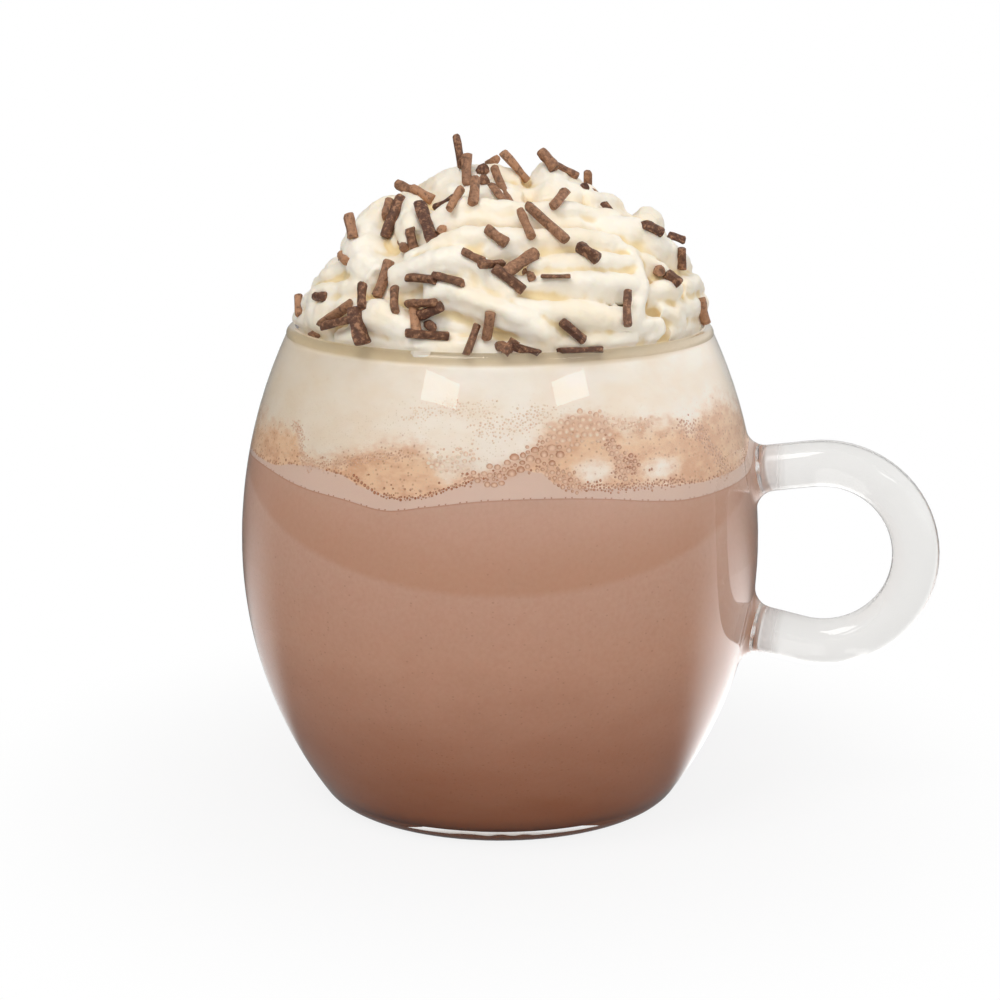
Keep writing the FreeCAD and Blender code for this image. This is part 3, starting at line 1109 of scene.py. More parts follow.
@dataclass
class Froth:
    """Milk froth on the drink, and the neck of cream above it up to the lip.

    blobs are pale places in the tan foam, and a few more tan ones: bearing, height, width
    and height of the blob, and how far it pushes the foam towards tan.  A darker tan is painted
    at the left side and under the lip as shade, and behind as well; each place has its bearing and
    width in degrees and its share.
    """

    rows: "tuple[BubbleRow, ...]"
    wall_rings: int = 36
    neck_rings: int = 30
    sink: float = 0.2
    neck_top: float = 81.9
    neck_cap: float = 0.3
    bubbles_below: float = 74.0
    bubbles_from: float = -12.0
    bubbles_to: float = 66.0
    tan_start: float = 1.4
    tan_end: float = 3.6
    milk_fade: float = 1.6
    speck_fade: tuple[float, float] = (78.0, 67.0)
    side_shade: tuple[float, float, float] = (-62.0, 34.0, 0.42)
    darker_behind: tuple[float, float, float] = (180.0, 50.0, 0.3)
    lip_shade: float = 0.85
    lip_fade: tuple[float, float] = (80.4, 80.9)
    blobs: tuple[tuple[float, float, float, float, float], ...] = (
        (21.0, 64.7, 4.0, 2.3, -1.5), (38.0, 64.0, 5.6, 2.2, -1.3), (-60.0, 64.5, 6.0, 2.5, 0.4),
        (-90.0, 65.0, 6.0, 2.0, -1.2), (120.0, 66.0, 5.0, 2.0, -1.4), (175.0, 64.0, 7.0, 2.0, -1.3),
        (-150.0, 67.0, 5.0, 2.5, -1.0))

    def tan_share(self, bearing: float, height: float) -> float:
        """How deep a point lies in the tan foam, -1 to 1 around its edge.

        Args:
            bearing: Degrees to the right of the front.
            height: Millimetres above the underside.

        Returns:
            The share; 0 is the edge.
        """
        above = (height - BUBBLE_SHORE.height(bearing)) / self.tan_start
        below = (TAN_SHORE.height(bearing) - height) / self.tan_end
        share = max(-1.0, min(1.0, above + 0.4, below))
        for blob_bearing, blob_height, width, tall, push in self.blobs:
            around = ((bearing - blob_bearing + 180) % 360 - 180) * MM_PER_DEGREE / width
            up = (height - blob_height) / tall
            share += push * math.exp(-(around ** 2 + up ** 2))
        return max(-1.0, min(1.0, share))

    def dress(self, body: bpy.types.Object) -> None:
        """Store the zones on a body.

        Args:
            body: Froth or neck.
        """
        Filling.remember(body, "tan", lambda bearing, height: 0.5 + 0.5 * self.tan_share(bearing, height))
        Filling.remember(body, "milk", lambda bearing, height:
                         0.5 + (BUBBLE_SHORE.height(bearing) - height) / self.milk_fade)
        # Painted shade: stored as the thin number, darker at the left side and under the lip.
        Filling.remember(body, "thin", self.darker_tan_share)
        Filling.remember(body, "web", self.web_share)
        Filling.remember(body, "speck", self.speck_share)

    def speck_share(self, bearing: float, height: float) -> float:
        """How many specks there are: few in the milk, and fewer the higher in the foam."""
        return 0.6 * smooth_step(*self.speck_fade, height) if height > BUBBLE_SHORE.height(bearing) else 0.1

    def darker_tan_share(self, bearing: float, height: float) -> float:
        """How much darker tan is painted: shade at the left side and under the lip, and a darker tint behind.

        Args:
            bearing: Degrees to the right of the front.
            height: Millimetres above the underside.

        Returns:
            The share, 0 to 1.
        """
        turn, width, share = self.side_shade
        side = math.exp(-((bearing - turn) / width) ** 2) * share
        turn, width, share = self.darker_behind
        behind = math.exp(-((abs(bearing) - turn) / width) ** 2) * share
        return min(1.0, side + behind + self.lip_shade * smooth_step(*self.lip_fade, height))

    def web_share(self, bearing: float, height: float) -> float:
        """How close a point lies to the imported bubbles.

        Args:
            bearing: Degrees to the right of the front.
            height: Millimetres above the underside.

        Returns:
            The share, 0 to 1.
        """
        if height > self.bubbles_below or not self.bubbles_from < bearing < self.bubbles_to:
            return 0.0
        return max(row.nearness(bearing, height) for row in self.rows if row.packed())

    def build(self) -> None:
        """Turn the froth and the neck and dress both."""
        froth = Layer("milk_froth", lambda bearing: DRINK_SHORE.height(bearing) - self.sink,
                      DRINK_LEVEL - self.sink, FROTH_SHORE.height, FROTH_SHORE.level, self.wall_rings).build()
        self.dress(froth)
        froth.data.materials.append(FrothFinish().make("froth_milk"))
        declare(froth, "froth", "milk_foam")

        neck = Layer("cream_neck", lambda bearing: FROTH_SHORE.height(bearing) - self.sink,
                     FROTH_SHORE.level - self.sink, lambda bearing: self.neck_top,
                     self.neck_top + self.neck_cap, self.neck_rings, self.neck_cap, self.neck_cap).build()
        self.dress(neck)
        neck.data.materials.append(FrothFinish().make("froth_neck"))
        declare(neck, "cream", "whipped_cream")


@dataclass(frozen=True)
class BubbleRow:
    """Bubbles strewn along a line at the glass.

    marks holds bearing and height; size is a bubble's width and spread the width of the row,
    in millimetres; tone runs from 0, dark, to 1, pale, and above 1 for bubbles in white foam.
    """

    marks: tuple[tuple[float, float], ...]
    size: float
    spread: float
    count: int
    tone: float

    def packed(self) -> bool:
        """Whether its bubbles are large and dark enough to tint the foam between them."""
        return self.size > 0.6 and self.tone < 0.9

    def nearness(self, bearing: float, height: float) -> float:
        """How close a point lies to the line.

        Args:
            bearing: Degrees to the right of the front.
            height: Millimetres above the underside.

        Returns:
            1 on the line, 0 clear of the row.
        """
        least = math.inf
        for first, second in zip(self.marks, self.marks[1:]):
            run = Vector(((second[0] - first[0]) * MM_PER_DEGREE, second[1] - first[1]))
            off = Vector(((bearing - first[0]) * MM_PER_DEGREE, height - first[1]))
            share = max(0.0, min(1.0, off.dot(run) / run.length_squared))
            least = min(least, (off - run * share).length)
        return smooth_step(self.spread * 0.7, self.spread * 0.25, least)


Spot = tuple[float, float, float, float]  # bearing, height, width and tone of a bubble


@dataclass
class Bubbles:
    """Bubbles caught at the glass, as small flat domes on the froth."""

    seed: int = 11
    tries: int = 18
    strays: int = 1100
    segments: int = 9
    rings: int = 6
    depth: float = 0.32
    pale_middle: float = 0.9
    sector_width: int = 3
    rows: tuple[BubbleRow, ...] = (
        # packed cells on the right of the middle
        BubbleRow(((3, 65.8), (7, 67.2), (10, 67.9), (12.5, 67.6)), 1.4, 2.0, 90, 0.3),
        BubbleRow(((-3, 64.3), (2, 65.4), (7, 67.2), (12, 68.2)), 0.95, 2.4, 120, 0.45),
        BubbleRow(((10, 67.6), (13, 69.4), (17, 71), (21, 71.6), (24, 70.6)), 1.0, 3.2, 130, 0.8),
        BubbleRow(((9, 66.8), (11, 65.2), (13.5, 63.8), (17, 62.8)), 0.8, 1.8, 80, 0.4),
        BubbleRow(((24, 69.8), (26, 68), (27.5, 65.6), (28, 63.6)), 0.85, 1.8, 60, 0.4),
        BubbleRow(((29, 66.4), (31, 65.6), (30, 64.4)), 0.85, 1.4, 34, 0.15),
        BubbleRow(((46, 69.6), (52, 68.6), (55, 66.6), (59, 63), (60.5, 61)), 0.5, 2.6, 50, 0.6),
        BubbleRow(((17, 62.7), (24, 62.1), (32, 62.0), (44, 61.4)), 0.42, 1.3, 44, 0.35),
        # pale ones, in the white foam and at the end of the left pool
        BubbleRow(((-22, 73.2), (-12, 74.8), (-2, 74.2)), 0.36, 3.0, 14, 1.55),
        BubbleRow(((-6, 71.2), (4, 72.4), (12, 73.6)), 0.4, 3.6, 18, 1.5),
        BubbleRow(((-15, 66.4), (-10, 66.8), (-6, 67.2)), 0.8, 2.4, 16, 1.25),
        BubbleRow(((24, 71.8), (31, 71.0), (38, 71.2)), 0.6, 1.4, 14, 1.0),
        # chains on the left
        BubbleRow(((-56, 69), (-53, 68.4), (-51, 66), (-49.5, 64.4), (-46, 63.6)), 0.34, 1.9, 20, 0.8),
        BubbleRow(((-48, 63.7), (-39, 64.6), (-33, 65.6), (-27, 66.7), (-20, 67.2)), 0.36, 1.5, 30, 0.75),
        BubbleRow(((-34, 63.4), (-31, 62.1), (-27, 61.1)), 0.55, 0.5, 14, 0.05),
        BubbleRow(((-26, 60.9), (-22, 60.6), (-16, 61.2), (-10, 62.8), (-4, 64.2), (0, 64.7)),
                  0.42, 0.6, 44, 0.15),
        BubbleRow(((-7, 64), (-3, 64.6), (1, 65.2), (4, 66)), 0.6, 1.3, 60, 0.3),
    )

    def base(self) -> bpy.types.Object:
        """Model a round drop of unit width with its poles along X.

        Returns:
            The drop, the pattern for every bubble.
        """
        bpy.ops.mesh.primitive_uv_sphere_add(segments=self.segments, ring_count=self.rings, radius=0.5,
                                             rotation=(0.0, math.pi / 2, 0.0))
        dome = bpy.context.object
        settle(dome)
        dome.name = "bubble_pattern"
        return dome

    def spots(self) -> list[Spot]:
        """Strew the bubbles, the large ones of a row first.

        Returns:
            Every bubble that found room.
        """
        chance = random.Random(self.seed)
        found: dict[int, list[Spot]] = {}
        for row in self.rows:
            tries = row.count * self.tries
            for turn in range(tries):
                share = chance.random() * (len(row.marks) - 1)
                first, second = row.marks[int(share)], row.marks[int(share) + 1]
                part = share - int(share)
                aside = chance.gauss(0, row.spread / 4) / MM_PER_DEGREE
                bearing = first[0] + (second[0] - first[0]) * part + aside
                height = first[1] + (second[1] - first[1]) * part + chance.gauss(0, row.spread / 4)
                width = row.size * (1.05 - 0.62 * turn / tries) * chance.uniform(0.9, 1.1)
                self.keep(found, bearing, height, width, row.tone)
        for _ in range(self.strays):
            bearing = chance.uniform(-180, 180)
            lift = abs(chance.gauss(0, 0.22)) if chance.random() < 0.8 else abs(chance.gauss(0, 1.2))
            self.keep(found, bearing, BUBBLE_SHORE.height(bearing) + lift, chance.uniform(0.25, 0.5), 0.3)
        return [spot for group in found.values() for spot in group]

    def keep(self, found: dict[int, list[Spot]], bearing: float, height: float, width: float,
             tone: float) -> None:
        """Add a bubble where there is room for it.

        Args:
            found: Bubbles so far, by sector of bearing.
            bearing: Degrees to the right of the front.
            height: Millimetres above the underside.
            width: Millimetres.
            tone: 0 dark to 1 pale, and above 1 in white foam.
        """
        sector = int(bearing // self.sector_width)
        for near in (sector - 1, sector, sector + 1):
            for other in found.get(near, ()):
                around = ((other[0] - bearing + 180) % 360 - 180) * MM_PER_DEGREE
                if around ** 2 + (other[1] - height) ** 2 < (0.5 * (other[2] + width)) ** 2:
                    return
        if height > DRINK_SHORE.height(bearing) + 0.5:
            found.setdefault(sector, []).append((bearing, height, width, tone))

    def build(self) -> None:
        """Copy the pattern to every spot and join the copies."""
        chance = random.Random(self.seed + 1)
        pattern = self.base()
        middles = [1 - min(1.0, math.hypot(*vertex.co.yz) / 0.45) for vertex in pattern.data.vertices]
        copies = []
        for bearing, height, width, tone in self.spots():
            mesh = pattern.data.copy()
            copy = bpy.data.objects.new("bubble", mesh)
            bpy.context.scene.collection.objects.link(copy)
            turn = math.radians(bearing + VIEW.front_bearing())
            stretch = chance.uniform(0.9, 1.12)
            shape = Matrix.Diagonal((self.depth * MM, width * stretch * MM, width / stretch * MM, 1.0))
            place = Matrix.Translation(on_round(bearing, BARREL.wall_radius(height) - 0.02, height))
            mesh.transform(place @ Matrix.Rotation(turn, 4, "Z") @ shape)
            shade = max(0.0, tone + chance.uniform(-0.2, 0.2))
            pale = self.pale_middle * smooth_step(0.35, 0.8, width)
            tones = [shade + pale * middle for middle in middles]
            mesh.attributes.new("tone", "FLOAT", "POINT").data.foreach_set("value", tones)
            copies.append(copy)
        bpy.data.objects.remove(pattern)
        bubbles = join_pieces(copies, "froth_bubbles")
        bpy.ops.object.shade_smooth()
        bubbles.data.materials.append(BubbleFinish().make())
        declare(bubbles, "froth")


# ------------------------------------------------------------------ piped cream

@dataclass(frozen=True)
class Stroke:
    """One pull of the piping bag, laid on the dome.

    path holds bearing (degrees right of the front), rise above the rim and how far it stands
    proud, in millimetres; thick holds the rope's radius at each place.
    """

    path: tuple[tuple[float, float, float], ...]
    thick: tuple[float, ...]


@dataclass
class CreamDome:
    """Whipped cream above the rim: a rope wound down the dome, with folds laid on it.

    Every fold has a thinner one just below it, its shingle, and the folds behind have both
    ends drawn out to a tip.  lumps are the width and height of the swellings of the surface.
    """

    seed: int = 7
    voxel: float = 0.43
    foot_radius: float = 34.0
    crown: float = round(box_side("whipped_cream", 1, "z") - BARREL.rim - 0.4, 2)
    roundness: float = 1.75
    sway: float = 1.0
    core_depth: float = 3.9
    neck_depth: float = 3.4
    neck_radius: float = 33.6
    lip_radius: float = 34.25
    lip_flare: float = 1.6
    first_bearing: float = -62.0
    first_rise: float = 21.4
    last_rise: float = 1.2
    pitch: float = 4.2
    turns: float = 4.7
    steps_a_turn: int = 15
    wound_proud: float = -1.2
    wound_thick: float = 2.5
    bed: float = 0.85
    shingle_drop: float = 1.3
    shingle_sink: float = 1.2
    shingle_share: float = 0.84
    front_from: float = -86.0
    front_to: float = 95.0
    tip_reach: float = 0.7
    tip_sink: float = 1.0
    tip_share: float = 0.55
    tip_rise: float = 0.4
    lumps: tuple[tuple[float, float], ...] = ((7.0, 0.7), (2.6, 0.32), (1.2, 0.16))
    crease_depth: float = 0.03
    crease_passes: int = 5
    folds: tuple[Stroke, ...] = (
        # upright lobe on the left, with a smaller one on its inner side
        Stroke(((-84, 20.6, 0.8), (-78, 19.6, 1.8), (-73, 17.2, 2.2), (-66, 14.2, 2.0), (-54, 11.6, 1.8),
                (-44, 10.2, 0.8)), (3.2, 4.4, 4.8, 4.8, 3.9, 2.6)),
        Stroke(((-74, 21.4, 0.8), (-56, 20.8, 1.6), (-46, 19.2, 2.0), (-40, 17.0, 0.8)),
               (2.2, 2.7, 2.5, 1.7)),
        # flutes of the front, from the top down
        Stroke(((-35, 19.0, 0.2), (-26, 20.6, 1.4), (-12, 21.0, 1.8), (2, 20.6, 1.8), (22, 20.1, 1.8),
                (40, 19.7, 1.8), (56, 18.3, 1.0)), (1.8, 2.2, 2.2, 2.1, 2.0, 2.0, 1.7)),
        Stroke(((-36, 13.6, 0.0), (-28, 14.8, 1.4), (-15, 16.5, 2.1), (0, 16.3, 2.1), (18, 15.9, 2.2),
                (34, 15.7, 2.0), (44, 15.2, 0.8)), (1.9, 2.3, 2.3, 2.1, 2.1, 2.0, 1.6)),
        Stroke(((-38, 10.6, 0.6), (-29, 12.2, 1.8), (-18, 13.4, 2.6), (-9, 12.6, 2.6), (-3, 10.4, 2.2),
                (1, 8.0, 1.2)), (1.8, 2.0, 2.0, 1.9, 1.8, 1.4)),
        Stroke(((6, 12.7, 1.2), (20, 12.6, 2.2), (32, 12.4, 2.3), (45, 12.0, 1.8)), (1.6, 1.8, 1.8, 1.6)),
        Stroke(((2, 10.2, 1.0), (17, 10.0, 2.2), (30, 9.4, 2.4), (42, 8.9, 2.0)), (1.5, 1.8, 1.8, 1.6)),
        Stroke(((1, 6.6, 1.0), (14, 5.8, 2.0), (26, 4.8, 2.3), (38, 3.9, 1.9)), (1.7, 2.0, 2.0, 1.8)),
        # end of the rope on the right, square to the rim, and its hook
        Stroke(((47, 13.6, 1.2), (44, 10.4, 2.4), (41, 6.8, 2.2), (38, 3.0, 1.4)), (1.4, 1.6, 1.6, 1.4)),
        Stroke(((38, 2.6, 1.0), (44, 3.4, 2.0), (49, 2.2, 1.8), (43, 0.4, 1.0)), (1.3, 1.6, 1.6, 1.4)),
        Stroke(((15, 0.9, 0.6), (26, 1.0, 1.4), (38, 1.1, 1.0)), (1.8, 2.1, 1.7)),
        # ridge low in the middle, over a hollow
        Stroke(((-24, 9.6, 0.6), (-18, 9.2, 1.6), (-10, 7.9, 2.2), (-3, 6.6, 2.2), (4, 5.0, 2.2),
                (10, 3.5, 1.8), (15, 1.8, 1.0)), (1.5, 1.8, 1.9, 1.9, 1.8, 1.7, 1.4)),
        Stroke(((-23, 7.4, 0.6), (-18, 9.1, 2.6), (-12, 9.2, 1.0)), (1.5, 1.9, 1.3)),
        # tail that runs down to the right, with its flutes
        Stroke(((42, 18.4, 0.6), (52, 17.2, 2.0), (62, 14.8, 2.4), (74, 12.2, 2.0), (87, 9.8, 0.9)),
               (1.8, 2.6, 3.0, 2.9, 2.0)),
        Stroke(((43, 15.0, 0.6), (51, 12.6, 1.8), (60, 9.8, 1.2)), (1.5, 2.0, 1.5)),
        Stroke(((84, 16.8, 0.8), (97, 16.4, 3.0), (110, 15.6, 2.8), (124, 14.0, 1.0)), (2.2, 3.3, 3.1, 2.0)),
        Stroke(((58, 22.2, 0.4), (76, 21.4, 1.2), (94, 20.2, 0.8)), (2.1, 2.5, 2.1)),
        # lumps at the right of the rim
        Stroke(((46, 7.6, 0.8), (55, 8.2, 1.9), (63, 7.2, 1.2)), (1.5, 2.0, 1.6)),
        Stroke(((66, 7.8, 1.2), (77, 7.2, 2.4), (89, 6.0, 1.2)), (1.7, 2.3, 1.9)),
        Stroke(((58, 4.2, 0.8), (72, 4.0, 2.0), (88, 3.2, 1.6)), (1.9, 2.4, 2.2)),
        Stroke(((49, 4.8, 0.8), (57, 3.6, 1.8), (62, 1.8, 0.8)), (1.4, 1.9, 1.5)),
        Stroke(((52, 0.9, 0.8), (70, 0.9, 1.4), (94, 0.8, 1.0)), (2.0, 2.2, 2.0)),
        # ruffles and blobs on the left of the rim
        Stroke(((-62, 11.4, 0.4), (-71, 9.8, 1.4), (-80, 6.8, 1.2)), (1.7, 2.2, 1.9)),
        Stroke(((-49, 8.6, 0.6), (-62, 7.4, 2.0), (-77, 4.2, 1.8)), (1.7, 2.2, 2.1)),
        Stroke(((-47, 5.8, 0.4), (-58, 4.9, 1.6), (-71, 2.6, 1.2)), (1.4, 1.8, 1.6)),
        Stroke(((-55, 2.5, 1.0), (-68, 1.8, 1.8), (-86, 1.0, 1.4)), (1.7, 2.1, 2.0)),
        Stroke(((-47, 4.2, 1.0), (-38, 4.9, 2.6), (-30, 3.8, 2.4), (-25, 1.8, 1.0)), (2.3, 3.1, 2.8, 1.9)),
        Stroke(((-52, 0.7, 0.6), (-38, 1.0, 1.2), (-22, 0.6, 0.8)), (1.8, 2.2, 1.7)),
        Stroke(((-22, 0.4, 0.2), (-8, 0.6, 0.6), (14, 0.5, 0.4)), (1.5, 1.7, 1.5)),
        # knob at the tip and the mound beside it
        Stroke(((-98, 22.2, 0), (-80, 24.2, 0.5), (-52, 25.3, 1.2), (-4, 25.8, 1.2), (34, 25.4, 0.2)),
               (2.8, 4.2, 4.8, 4.2, 2.6)),
        Stroke(((-34, 22.4, 0.2), (-8, 23.6, 0.8), (14, 23.0, 0.2)), (1.8, 2.2, 1.7)),
        Stroke(((28, 21.9, 0.4), (42, 23.6, 1.4), (66, 25.0, 2.2), (92, 24.8, 1.4), (132, 23.4, 0)),
               (2.2, 3.2, 3.7, 3.5, 2.4)),
        # folds behind
        Stroke(((106, 21.8, 0.4), (140, 20.8, 1.8), (170, 19.4, 2.0), (196, 17.2, 0.8)),
               (2.4, 3.0, 2.9, 2.0)),
        Stroke(((-88, 16.4, 0.4), (-112, 17.6, 2.2), (-140, 18.4, 2.2), (-166, 19.8, 0.4)),
               (2.2, 3.0, 3.0, 2.2)),
        Stroke(((118, 12.4, 0.6), (138, 12.8, 2.0), (166, 11.8, 2.2), (188, 10.2, 0.8)),
               (1.8, 2.3, 2.3, 1.7)),
        Stroke(((126, 10.6, 0.8), (129, 7.4, 2.4), (127, 3.6, 1.4)), (1.6, 2.1, 1.6)),
        Stroke(((196, 12.6, 0.6), (214, 11.6, 2.2), (238, 9.4, 2.4), (256, 8.0, 0.8)), (1.8, 2.5, 2.5, 1.7)),
        Stroke(((146, 6.6, 0.8), (168, 5.4, 2.2), (194, 4.8, 2.0), (214, 5.0, 0.8)), (1.8, 2.5, 2.4, 1.8)),
        Stroke(((220, 3.8, 0.8), (240, 3.2, 2.2), (260, 3.6, 1.2)), (2.0, 2.6, 2.0)),
        Stroke(((100, 3.2, 0.6), (118, 2.6, 1.8), (140, 1.4, 1.2), (180, 1.0, 1.4), (230, 0.9, 1.0)),
               (2.0, 2.4, 2.0, 2.2, 1.9)),
        Stroke(((98, 9.2, 0.2), (110, 7.6, 0.8), (120, 5.4, 0.4)), (1.7, 2.2, 1.6)),
    )

    def wound(self, chance: random.Random) -> Stroke:
        """Rope that winds down the dome from the tip to the rim.

        Args:
            chance: Source of its unevenness.

        Returns:
            The stroke.
        """
        count = int(self.turns * self.steps_a_turn)
        path, girth = [], []
        for number in range(count + 1):
            turn = number / self.steps_a_turn
            bearing = self.first_bearing + 360 * turn
            rise = max(self.first_rise - self.pitch * turn, self.last_rise) + chance.uniform(-0.3, 0.3)
            path.append((bearing, rise, self.wound_proud + chance.uniform(-0.35, 0.35)))
            fade = min(1.0, 0.45 + 0.3 * number, 0.45 + 0.3 * (count - number))
            girth.append(self.wound_thick * (1 + 0.05 * turn) * fade * chance.uniform(0.94, 1.06))
        return Stroke(tuple(path), tuple(girth))

    def behind(self, stroke: Stroke) -> bool:
        """Whether a stroke lies behind the dome."""
        return all(not self.front_from < bearing < self.front_to for bearing, _, _ in stroke.path)

    def drawn_out(self, stroke: Stroke) -> Stroke:
        """Give a stroke thin tips that sink into the cream.

        Args:
            stroke: The stroke.

        Returns:
            The longer stroke.
        """
        tips = []
        for end, inner in ((0, 1), (-1, -2)):
            bearing, rise, proud = (near + (near - far) * self.tip_reach
                                    for near, far in zip(stroke.path[end], stroke.path[inner]))
            tips.append((bearing, max(rise, self.tip_rise), proud - self.tip_sink))
        thin = [self.tip_share * stroke.thick[end] for end in (0, -1)]
        return Stroke((tips[0], *stroke.path, tips[1]), (thin[0], *stroke.thick, thin[1]))

    def shingle(self, stroke: Stroke) -> Stroke:
        """Lay a thinner stroke just below another, so that the fold slopes back like a sheet.

        Args:
            stroke: The upper stroke.

        Returns:
            The lower one.
        """
        path = tuple((bearing, rise - self.shingle_drop, proud - self.shingle_sink)
                     for bearing, rise, proud in stroke.path)
        return replace(stroke, path=path, thick=tuple(self.shingle_share * thick for thick in stroke.thick))

    def radius_at(self, rise: float) -> float:
        """Radius of the plain dome.

        Args:
            rise: Millimetres above the rim.

        Returns:
            The radius.
        """
        share = min(max(rise / self.crown, 0.0), 1.0)
        return self.foot_radius * (1 - share ** self.roundness) ** (1 / self.roundness)

    def on_dome(self, bearing: float, rise: float, out: float) -> Vector:
        """Point over the plain dome.

        Args:
            bearing: Degrees to the right of the front.
            rise: Millimetres above the rim.
            out: Millimetres off the dome, along its normal.

        Returns:
            The point in metres.
        """
        radius = self.radius_at(rise)
        slope = Vector((radius / self.foot_radius ** 2, max(rise, 0.0) / self.crown ** 2)).normalized()
        aside = self.sway * math.sin(math.pi * min(max(rise / self.crown, 0.0), 1.0)) * MM
        point = on_round(bearing, max(0.0, radius + out * slope.x), BARREL.rim + rise + out * slope.y)
        return point + VIEW.across() * aside

    def rope(self, stroke: Stroke) -> bpy.types.Object:
        """Lay a round rope along a stroke.

        Args:
            stroke: The stroke.

        Returns:
            The rope as a mesh.
        """
        shape = bpy.data.curves.new("flute", "CURVE")
        shape.dimensions = "3D"
        spline = shape.splines.new("NURBS")
        spline.points.add(len(stroke.path) - 1)
        for point, place, thick in zip(spline.points, stroke.path, stroke.thick):
            bearing, rise, proud = place
            point.co = (*self.on_dome(bearing, rise, proud - self.bed * thick), 1.0)
            point.radius = thick
        spline.order_u = 3
        spline.use_endpoint_u = True
        shape.resolution_u = 6
        shape.bevel_depth = MM
        shape.bevel_resolution = 3
        shape.use_fill_caps = True
        rope = bpy.data.objects.new("flute", shape)
        bpy.context.scene.collection.objects.link(rope)
        pick_only(rope)
        bpy.ops.object.convert(target="MESH")
        return rope

    def core(self) -> bpy.types.Object:
        """Model the body of cream that the ropes lie on, with its foot inside the lip.

        Returns:
            The body.
        """
        bpy.ops.mesh.primitive_uv_sphere_add(segments=96, ring_count=48, radius=1.0)
        core = bpy.context.object
        for vertex in core.data.vertices:
            bearing = bearing_of(vertex.co)
            if vertex.co.z > 0:
                rise = self.crown * math.asin(min(1.0, vertex.co.z)) / (math.pi / 2)
                vertex.co = self.on_dome(bearing, rise, -self.core_depth)
            else:
                lean = math.sqrt(max(0.0, 1 - vertex.co.z ** 2))
                depth = self.neck_depth if lean < 0.98 else self.neck_depth * (1 - lean) / 0.02
                radius = min(self.neck_radius, self.neck_radius * lean * 1.02)
                vertex.co = on_round(bearing, radius, BARREL.rim - depth)
        return core

    def build(self) -> bpy.types.Object:
        """Lay the ropes, run them together and soften them.

        Returns:
            The cream above the rim.
        """
        chance = random.Random(self.seed)
        wound = self.wound(chance)
        folds = [self.drawn_out(fold) if self.behind(fold) else fold for fold in self.folds]
        ropes = [self.rope(stroke) for stroke in [wound, *folds, *map(self.shingle, folds)]]
        dome = join_pieces([self.core(), *ropes], "whipped_cream_dome")
        finish_with(dome, "REMESH", mode="VOXEL", voxel_size=self.voxel * MM)
        finish_with(dome, "SMOOTH", factor=0.5, iterations=4)
        self.roughen(dome)
        self.note_creases(dome)
        pick_only(dome)
        bpy.ops.object.shade_smooth()
        dome.data.materials.clear()
        dome.data.materials.append(CreamFinish().make())
        declare(dome, "cream", "whipped_cream")
        return dome

    def roughen(self, dome: bpy.types.Object) -> None:
        """Push the surface in and out as whipped cream sets, and keep it inside the lip.

        Args:
            dome: The dome.
        """
        points = dome.data.vertices
        skin = [(point.co / MM, point.normal.copy()) for point in points]
        places = []
        for place, normal in skin:
            place += normal * sum(noise.noise(place / width) * height for width, height in self.lumps)
            limit = self.lip_radius + max(0.0, place.z - BARREL.rim) * self.lip_flare
            reach = math.hypot(place.x, place.y)
            if reach > limit:
                place = Vector((place.x * limit / reach, place.y * limit / reach, place.z))
            places.extend(place * MM)
        points.foreach_set("co", places)
        dome.data.update()

    def note_creases(self, dome: bpy.types.Object) -> None:
        """Store on each point how deep it lies in a fold.

        Args:
            dome: The finished mesh.
        """
        mesh = dome.data
        counts = [0] * len(mesh.vertices)
        pairs = [tuple(edge.vertices) for edge in mesh.edges]
        sums = [Vector() for _ in counts]
        for first, second in pairs:
            sums[first] += mesh.vertices[second].co
            sums[second] += mesh.vertices[first].co
            counts[first] += 1
            counts[second] += 1
        hollow = [(total / count - vertex.co).dot(vertex.normal) / (self.crease_depth * MM)
                  for total, count, vertex in zip(sums, counts, mesh.vertices)]
        for _ in range(self.crease_passes):
            spread = list(hollow)
            for first, second in pairs:
                spread[first] += hollow[second]
                spread[second] += hollow[first]
            hollow = [value / (count + 1) for value, count in zip(spread, counts)]
        mesh.attributes.new("crease", "FLOAT", "POINT").data.foreach_set("value", hollow)


# ------------------------------------------------------------------ sprinkles

@dataclass(frozen=True)
class Rod:
    """One sprinkle seen from the front: middle, lean in degrees and length, in millimetres.

    A length of 0 is a rod that points at the eye; wide is its width against a usual one.
    """

    across: float
    rise: float
    lean: float
    length: float
    wide: float = 1.0


